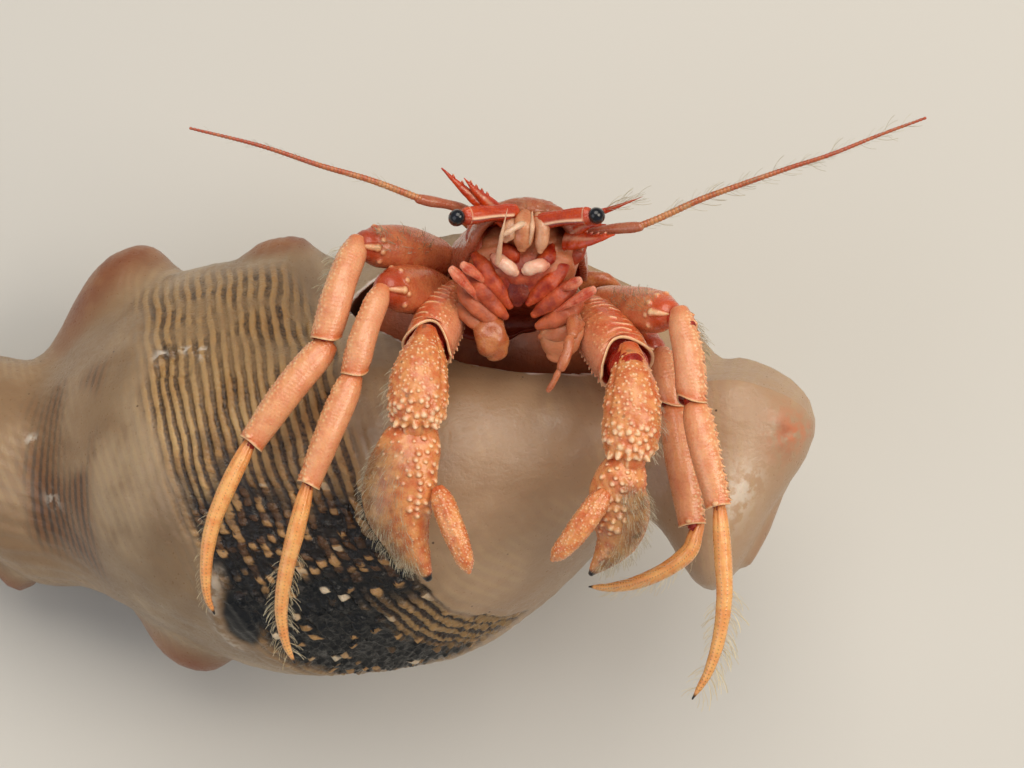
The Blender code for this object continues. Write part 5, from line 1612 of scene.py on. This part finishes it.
def make_limbs():
    """Walking legs, claws and the skin between their pieces."""
    leg_shell = cuticle_finish("leg_cuticle", "#eba368", "#d0662f", "#f8d7a2", "#e3a27a")
    arm_shell = cuticle_finish("upper_limb_cuticle", "#c8703f", "#b0421f", "#f0bd88", "#c27a5a")
    fore_shell = cuticle_finish("claw_arm_cuticle", "#e0905a", "#c8522a", "#f6cf9c", "#d28c6a")
    tip_shell = cuticle_finish("dactyl_cuticle", "#f0b26a", "#e08a48", "#fadc9c", "#eeae6c")
    claw_shell = cuticle_finish("claw_cuticle", "#e2985a", "#c45426", "#ffe3b8", "#d4926a")
    rng = np.random.default_rng(7)
    for leg, pieces in LEGS.items():
        for piece, (course, width, depth) in pieces.items():
            made = leg_piece(rng, leg, piece, course, width, depth)
            upper = fore_shell if leg == "left_leg_1" else arm_shell
            finish = {"dactyl": tip_shell, "merus": upper}.get(piece, leg_shell)
            slot = "golden_cuticle" if piece == "dactyl" else "orange_cuticle"
            settle(made, finish, slot, leg + "_" + piece)
    makers = {"merus": claw_arm, "carpus": claw_wrist, "palm": claw_hand, "finger": claw_finger}
    for claw, pieces in CLAWS.items():
        for piece, (course, width, depth) in pieces.items():
            made = makers[piece](rng, claw, course, width, depth)
            finish = fore_shell if piece == "merus" else claw_shell
            slot = "pink_cuticle" if piece == "merus" else "orange_cuticle"
            settle(made, finish, slot, claw + "_" + piece)
    joints = soft_skin_finish("arthrodial_skin", "#8a1a10", "#b8341c")
    settle(joint_skins(), joints, "red_membrane")


# ---- bristles, grown by a node tree
BRISTLE_STEPS = 4          # stretches along one bristle
BRISTLE_SIDES = 3
TUFT_PATCH = 0.003         # width of a bristle's patch on the coat's unwrap
COAT_CELLS = 8             # strips of the unwrap, one for each piece a coat grows on


def bristle_tree(name, finish):
    """A tree that stands a bent, tapered bristle on every root, along the root's own way."""
    tree = bpy.data.node_groups.new(name, "GeometryNodeTree")
    tree.interface.new_socket("Roots", in_out="INPUT", socket_type="NodeSocketGeometry")
    for label, kind, value in (("Thickness", "NodeSocketFloat", 0.03),
                               ("Bend", "NodeSocketFloat", 0.3), ("Seed", "NodeSocketInt", 5)):
        made = tree.interface.new_socket(label, in_out="INPUT", socket_type=kind)
        made.default_value = value
    tree.interface.new_socket("Bristles", in_out="OUTPUT", socket_type="NodeSocketGeometry")
    end = node(tree, "ShaderNodeCombineXYZ",
               {"X": node(tree, "NodeGroupInput", out="Bend"), "Z": 0.95})
    line = node(tree, "GeometryNodeCurveQuadraticBezier", {
        "Resolution": BRISTLE_STEPS, "Start": (0.0, 0.0, -0.04), "Middle": (0.0, 0.0, 0.55),
        "End": end})
    factor = node(tree, "GeometryNodeSplineParameter", out="Factor")
    taper = node(tree, "ShaderNodeMapRange", {0: factor, 3: 1.0, 4: 0.15})
    line = node(tree, "GeometryNodeSetCurveRadius", {"Curve": line, "Radius": taper})
    ring = node(tree, "GeometryNodeCurvePrimitiveCircle", {
        "Resolution": BRISTLE_SIDES, "Radius": node(tree, "NodeGroupInput", out="Thickness")})
    bristle = node(tree, "GeometryNodeCurveToMesh", {"Curve": line, "Profile Curve": ring,
                                                     "Fill Caps": True})
    kept = {label: node(tree, "GeometryNodeInputNamedAttribute", {"Name": label},
                        data_type=kind)
            for label, kind in (("way", "FLOAT_VECTOR"), ("lean", "FLOAT_VECTOR"),
                                ("length", "FLOAT"))}
    turn = node(tree, "FunctionNodeAlignRotationToVector", {"Vector": kept["way"]}, axis="Z")
    turn = node(tree, "FunctionNodeAlignRotationToVector",
                {"Rotation": turn, "Vector": kept["lean"]}, axis="X", pivot_axis="Z")
    vary = node(tree, "FunctionNodeRandomValue", {
        2: 0.65, 3: 1.15, "Seed": node(tree, "NodeGroupInput", out="Seed")}, 1,
        data_type="FLOAT")
    size = node(tree, "ShaderNodeMath", {0: kept["length"], 1: vary}, operation="MULTIPLY")
    grown = node(tree, "GeometryNodeInstanceOnPoints", {
        "Points": node(tree, "NodeGroupInput", out="Roots"), "Instance": bristle,
        "Rotation": turn, "Scale": size})
    grown = node(tree, "GeometryNodeRealizeInstances", {"Geometry": grown})
    grown = node(tree, "GeometryNodeSetMaterial", {"Geometry": grown, "Material": finish})
    node(tree, "NodeGroupOutput", {0: grown}, None)
    return tree


def grow(name, tree, settings, coats, slot):
    """Grow a tree's bristles on a list of root sets and keep them as one plain mesh."""
    roots, ways, leans, lengths, spots = (np.concatenate(parts) for parts in zip(*coats))
    mesh = bpy.data.meshes.new(name)
    mesh.from_pydata(to_row(roots).tolist(), [], [])
    for label, kind, field, values in (
        ("way", "FLOAT_VECTOR", "vector", ways), ("lean", "FLOAT_VECTOR", "vector", leans),
        ("length", "FLOAT", "value", lengths * MM),
    ):
        layer = mesh.attributes.new(label, kind, "POINT")
        layer.data.foreach_set(field, np.asarray(values, dtype=np.float32).ravel())
    made = stand(name, mesh)
    grower = made.modifiers.new("grow", "NODES")
    grower.node_group = tree
    for item in tree.interface.items_tree:
        if item.name in settings:
            grower[item.identifier] = settings[item.name]
    grown = press(made)
    corner = np.empty(len(grown.loops), dtype=np.int64)
    grown.loops.foreach_get("vertex_index", corner)
    each = len(grown.vertices) // len(roots)
    inside = corner % each
    patch = spots[corner // each]
    patch = patch + TUFT_PATCH * np.stack((inside // BRISTLE_SIDES / (BRISTLE_STEPS + 1.0),
                                           inside % BRISTLE_SIDES / BRISTLE_SIDES), axis=-1)
    layer = grown.uv_layers.new(name="OFBake")
    layer.data.foreach_set("uv", patch.astype(np.float32).ravel())
    keep_mark(grown, "lot", np.repeat(scatter_hash((roots * 40.0).astype(int), 91), each))
    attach(made, "root")
    return made


def limb_roots(rng, cell, course, width, depth, shape, count, shares, degrees, length, lean=0.8):
    """Roots on a limb piece: where, which way, how long, and their place on the unwrap."""
    limb = Limb(course, width, depth, shape, 0.2)
    rings, sides = limb.points.shape[:2]
    ring = (rng.uniform(*shares, count) * (rings - 1)).astype(int)
    swing = rng.uniform(*degrees, count) % 360.0
    side = (swing / 360.0 * sides).astype(int) % sides
    way = limb.out[ring, side] + lean * rng.uniform(0.5, 1.2, (count, 1)) * limb.way[ring]
    way = way + rng.normal(0.0, 0.14, (count, 3))
    spots = np.stack(((cell + 0.04 + 0.9 * ring / rings) / COAT_CELLS,
                      0.03 + 0.94 * swing / 360.0), axis=-1)
    return (limb.points[ring, side], way, limb.way[ring], rng.uniform(*length, count), spots)


def shell_roots(rng, cell, count):
    """Roots of soft hair on the shell's lip behind the crab's back."""
    place = rng.uniform(20.0, 40.0, count)
    angle = rng.uniform(2.0, 26.0, count)
    roots = shell_point(place, angle, shell_reach(place, angle) + 0.1)
    out = roots - shell_point(place, angle, 0.0 * place)
    way = unit(out) + rng.normal(0.0, 0.22, (count, 3))
    way = way + np.array((0.0, 0.3, 0.5))
    spots = np.stack(((cell + 0.04 + 0.9 * (place - 20.0) / 20.0) / COAT_CELLS,
                      0.03 + 0.9 * angle / 26.0), axis=-1)
    return (roots, way, np.tile((0.0, 1.0, 0.0), (count, 1)), rng.uniform(1.0, 2.6, count), spots)


def make_bristles():
    """Setae of the walking legs and feelers, fuzz of the claws, soft hair of the lip."""
    rng = np.random.default_rng(33)
    gold = bristle_tree("leg_setae", bristle_finish("golden_seta_chitin", "#c9b183", "#efe0b8"))
    grey = bristle_tree("claw_fuzz", bristle_finish("pale_fuzz_chitin", "#8f8264", "#c9bfa2"))
    tips = {leg: pieces["dactyl"][0] for leg, pieces in LEGS.items()}
    # leg, count, stretch, degrees round the tip, length
    tufts = (
        ("left_leg_1", 90, (0.38, 0.97), (150.0, 205.0), (1.5, 2.9)),
        ("left_leg_1", 60, (0.45, 0.97), (-25.0, 25.0), (0.9, 2.0)),
        ("right_leg_2", 60, (0.30, 0.95), (150.0, 205.0), (1.0, 2.0)),
        ("right_leg_2", 60, (0.40, 0.95), (-25.0, 25.0), (1.0, 2.0)),
        ("left_leg_2", 110, (0.15, 0.85), (60.0, 200.0), (0.8, 1.8)),
        ("right_leg_1", 60, (0.40, 0.95), (-25.0, 30.0), (0.6, 1.2)),
    )
    coats = [limb_roots(rng, cell, tips[leg], 1.0, 1.1, DACTYL, count, shares, degrees, length)
             for cell, (leg, count, shares, degrees, length) in enumerate(tufts)]
    grow("leg_setae", gold, {"Thickness": 0.013, "Bend": 0.3, "Seed": 5}, coats,
         "golden_cuticle")
    coats = []
    for cell, (limb, piece, shape, count, shares, degrees, length) in enumerate((
        ("right_claw", "palm", HAND, 760, (0.10, 0.92), (-15.0, 100.0), (0.5, 1.25)),
        ("left_claw", "palm", HAND, 600, (0.10, 0.92), (95.0, 190.0), (0.5, 1.25)),
        ("right_claw", "carpus", WRIST, 90, (0.3, 1.0), (-20.0, 40.0), (0.7, 1.5)),
        ("left_claw", "carpus", WRIST, 70, (0.4, 1.0), (140.0, 200.0), (0.7, 1.5)),
        ("right_leg_1", "carpus", CARPUS, 60, (0.0, 0.5), (-40.0, 30.0), (0.9, 2.0)),
        ("left_leg_1", "carpus", CARPUS, 60, (0.0, 0.5), (150.0, 220.0), (0.9, 2.0)),
        ("right_leg_1", "merus", MERUS, 120, (0.5, 1.0), (60.0, 120.0), (0.9, 2.0)),
        ("left_leg_1", "merus", MERUS, 120, (0.4, 1.0), (60.0, 120.0), (0.9, 2.0)),
    )):
        course, width, depth = {**LEGS, **CLAWS}[limb][piece]
        coats.append(limb_roots(rng, cell, course, width, depth, shape, count, shares, degrees,
                                length, 0.5))
    grow("limb_fuzz", grey, {"Thickness": 0.016, "Bend": 0.4, "Seed": 6}, coats, "growth")
    coats = [limb_roots(rng, cell, FEELERS[side], 0.3, 0.3, ROD, count, (0.02, 0.95),
                        (0.0, 360.0), length, 1.0)
             for cell, (side, count, length) in enumerate((("left", 150, (0.8, 2.4)),
                                                           ("right", 70, (0.5, 1.3))))]
    coats.append(limb_roots(rng, 2, LEFT_INNER_FEELER, 0.3, 0.3, ROD, 40, (0.3, 1.0),
                            (0.0, 360.0), (1.0, 2.6), 1.4))
    coats.append(shell_roots(rng, 3, 520))
    grow("fine_hair", grey, {"Thickness": 0.012, "Bend": 0.3, "Seed": 7}, coats, "growth")


# ---- floor, light and camera
def studio():
    """Plain pale floor, soft light from above and behind, a little fill."""
    # matt paint: even and without a shine
    finish, _, shader, _ = new_finish("matt_floor_paint")
    shader.inputs["Base Color"].default_value = colour("#cfccc4")
    shader.inputs["Roughness"].default_value = 0.75
    mesh = bpy.data.meshes.new("floor")
    half = 3.0
    mesh.from_pydata([(-half, -half, 0), (half, -half, 0), (half, half, 0), (-half, half, 0)],
                     [], [(0, 1, 2, 3)])
    mesh.materials.append(finish)
    stand("floor", mesh)
    lamps = (
        ("sky", (0.06, 0.26, 0.62), 0.50, 2.5, "#fff8ee"),
        ("window", (0.42, -0.05, 0.50), 0.32, 1.7, "#fff1e0"),
        ("fill", (-0.45, -0.25, 0.45), 0.50, 0.85, "#f4f6ff"),
    )
    for name, spot, size, power, tint in lamps:
        light = bpy.data.lights.new(name, "AREA")
        light.size = size
        light.energy = power
        light.color = colour(tint)[:3]
        lamp = stand(name, light)
        lamp.location = spot
        aim = Vector((0.02, 0.0, 0.04)) - Vector(spot)
        lamp.rotation_euler = aim.to_track_quat("-Z", "Y").to_euler()
    world = bpy.data.worlds.new("studio")
    world.use_nodes = True
    sky = world.node_tree.nodes["Background"]
    sky.inputs["Color"].default_value = colour("#e9edf2")
    sky.inputs["Strength"].default_value = 0.36
    bpy.context.scene.world = world
    bpy.context.scene.view_settings.view_transform = "Standard"


CAMERA_SPOT = (18.0, -44.5, 290.755)
CAMERA_TILT = 12.0         # degrees off the plumb line
LENS = 73.125              # mm, before a sensor 36 mm wide


def camera():
    """A long lens that looks nearly straight down."""
    lens = bpy.data.cameras.new("camera")
    lens.lens = LENS
    lens.sensor_width = 36.0
    lens.clip_start = 0.01
    made = stand("camera", lens)
    made.location = to_row(CAMERA_SPOT)
    made.rotation_euler = (math.radians(CAMERA_TILT), 0.0, 0.0)
    bpy.context.scene.camera = made


studio()
camera()
settle(shell_skin(), shell_finish(), "shell_cover", "shell", *KNOBS)
make_limbs()
make_head()
make_bristles()
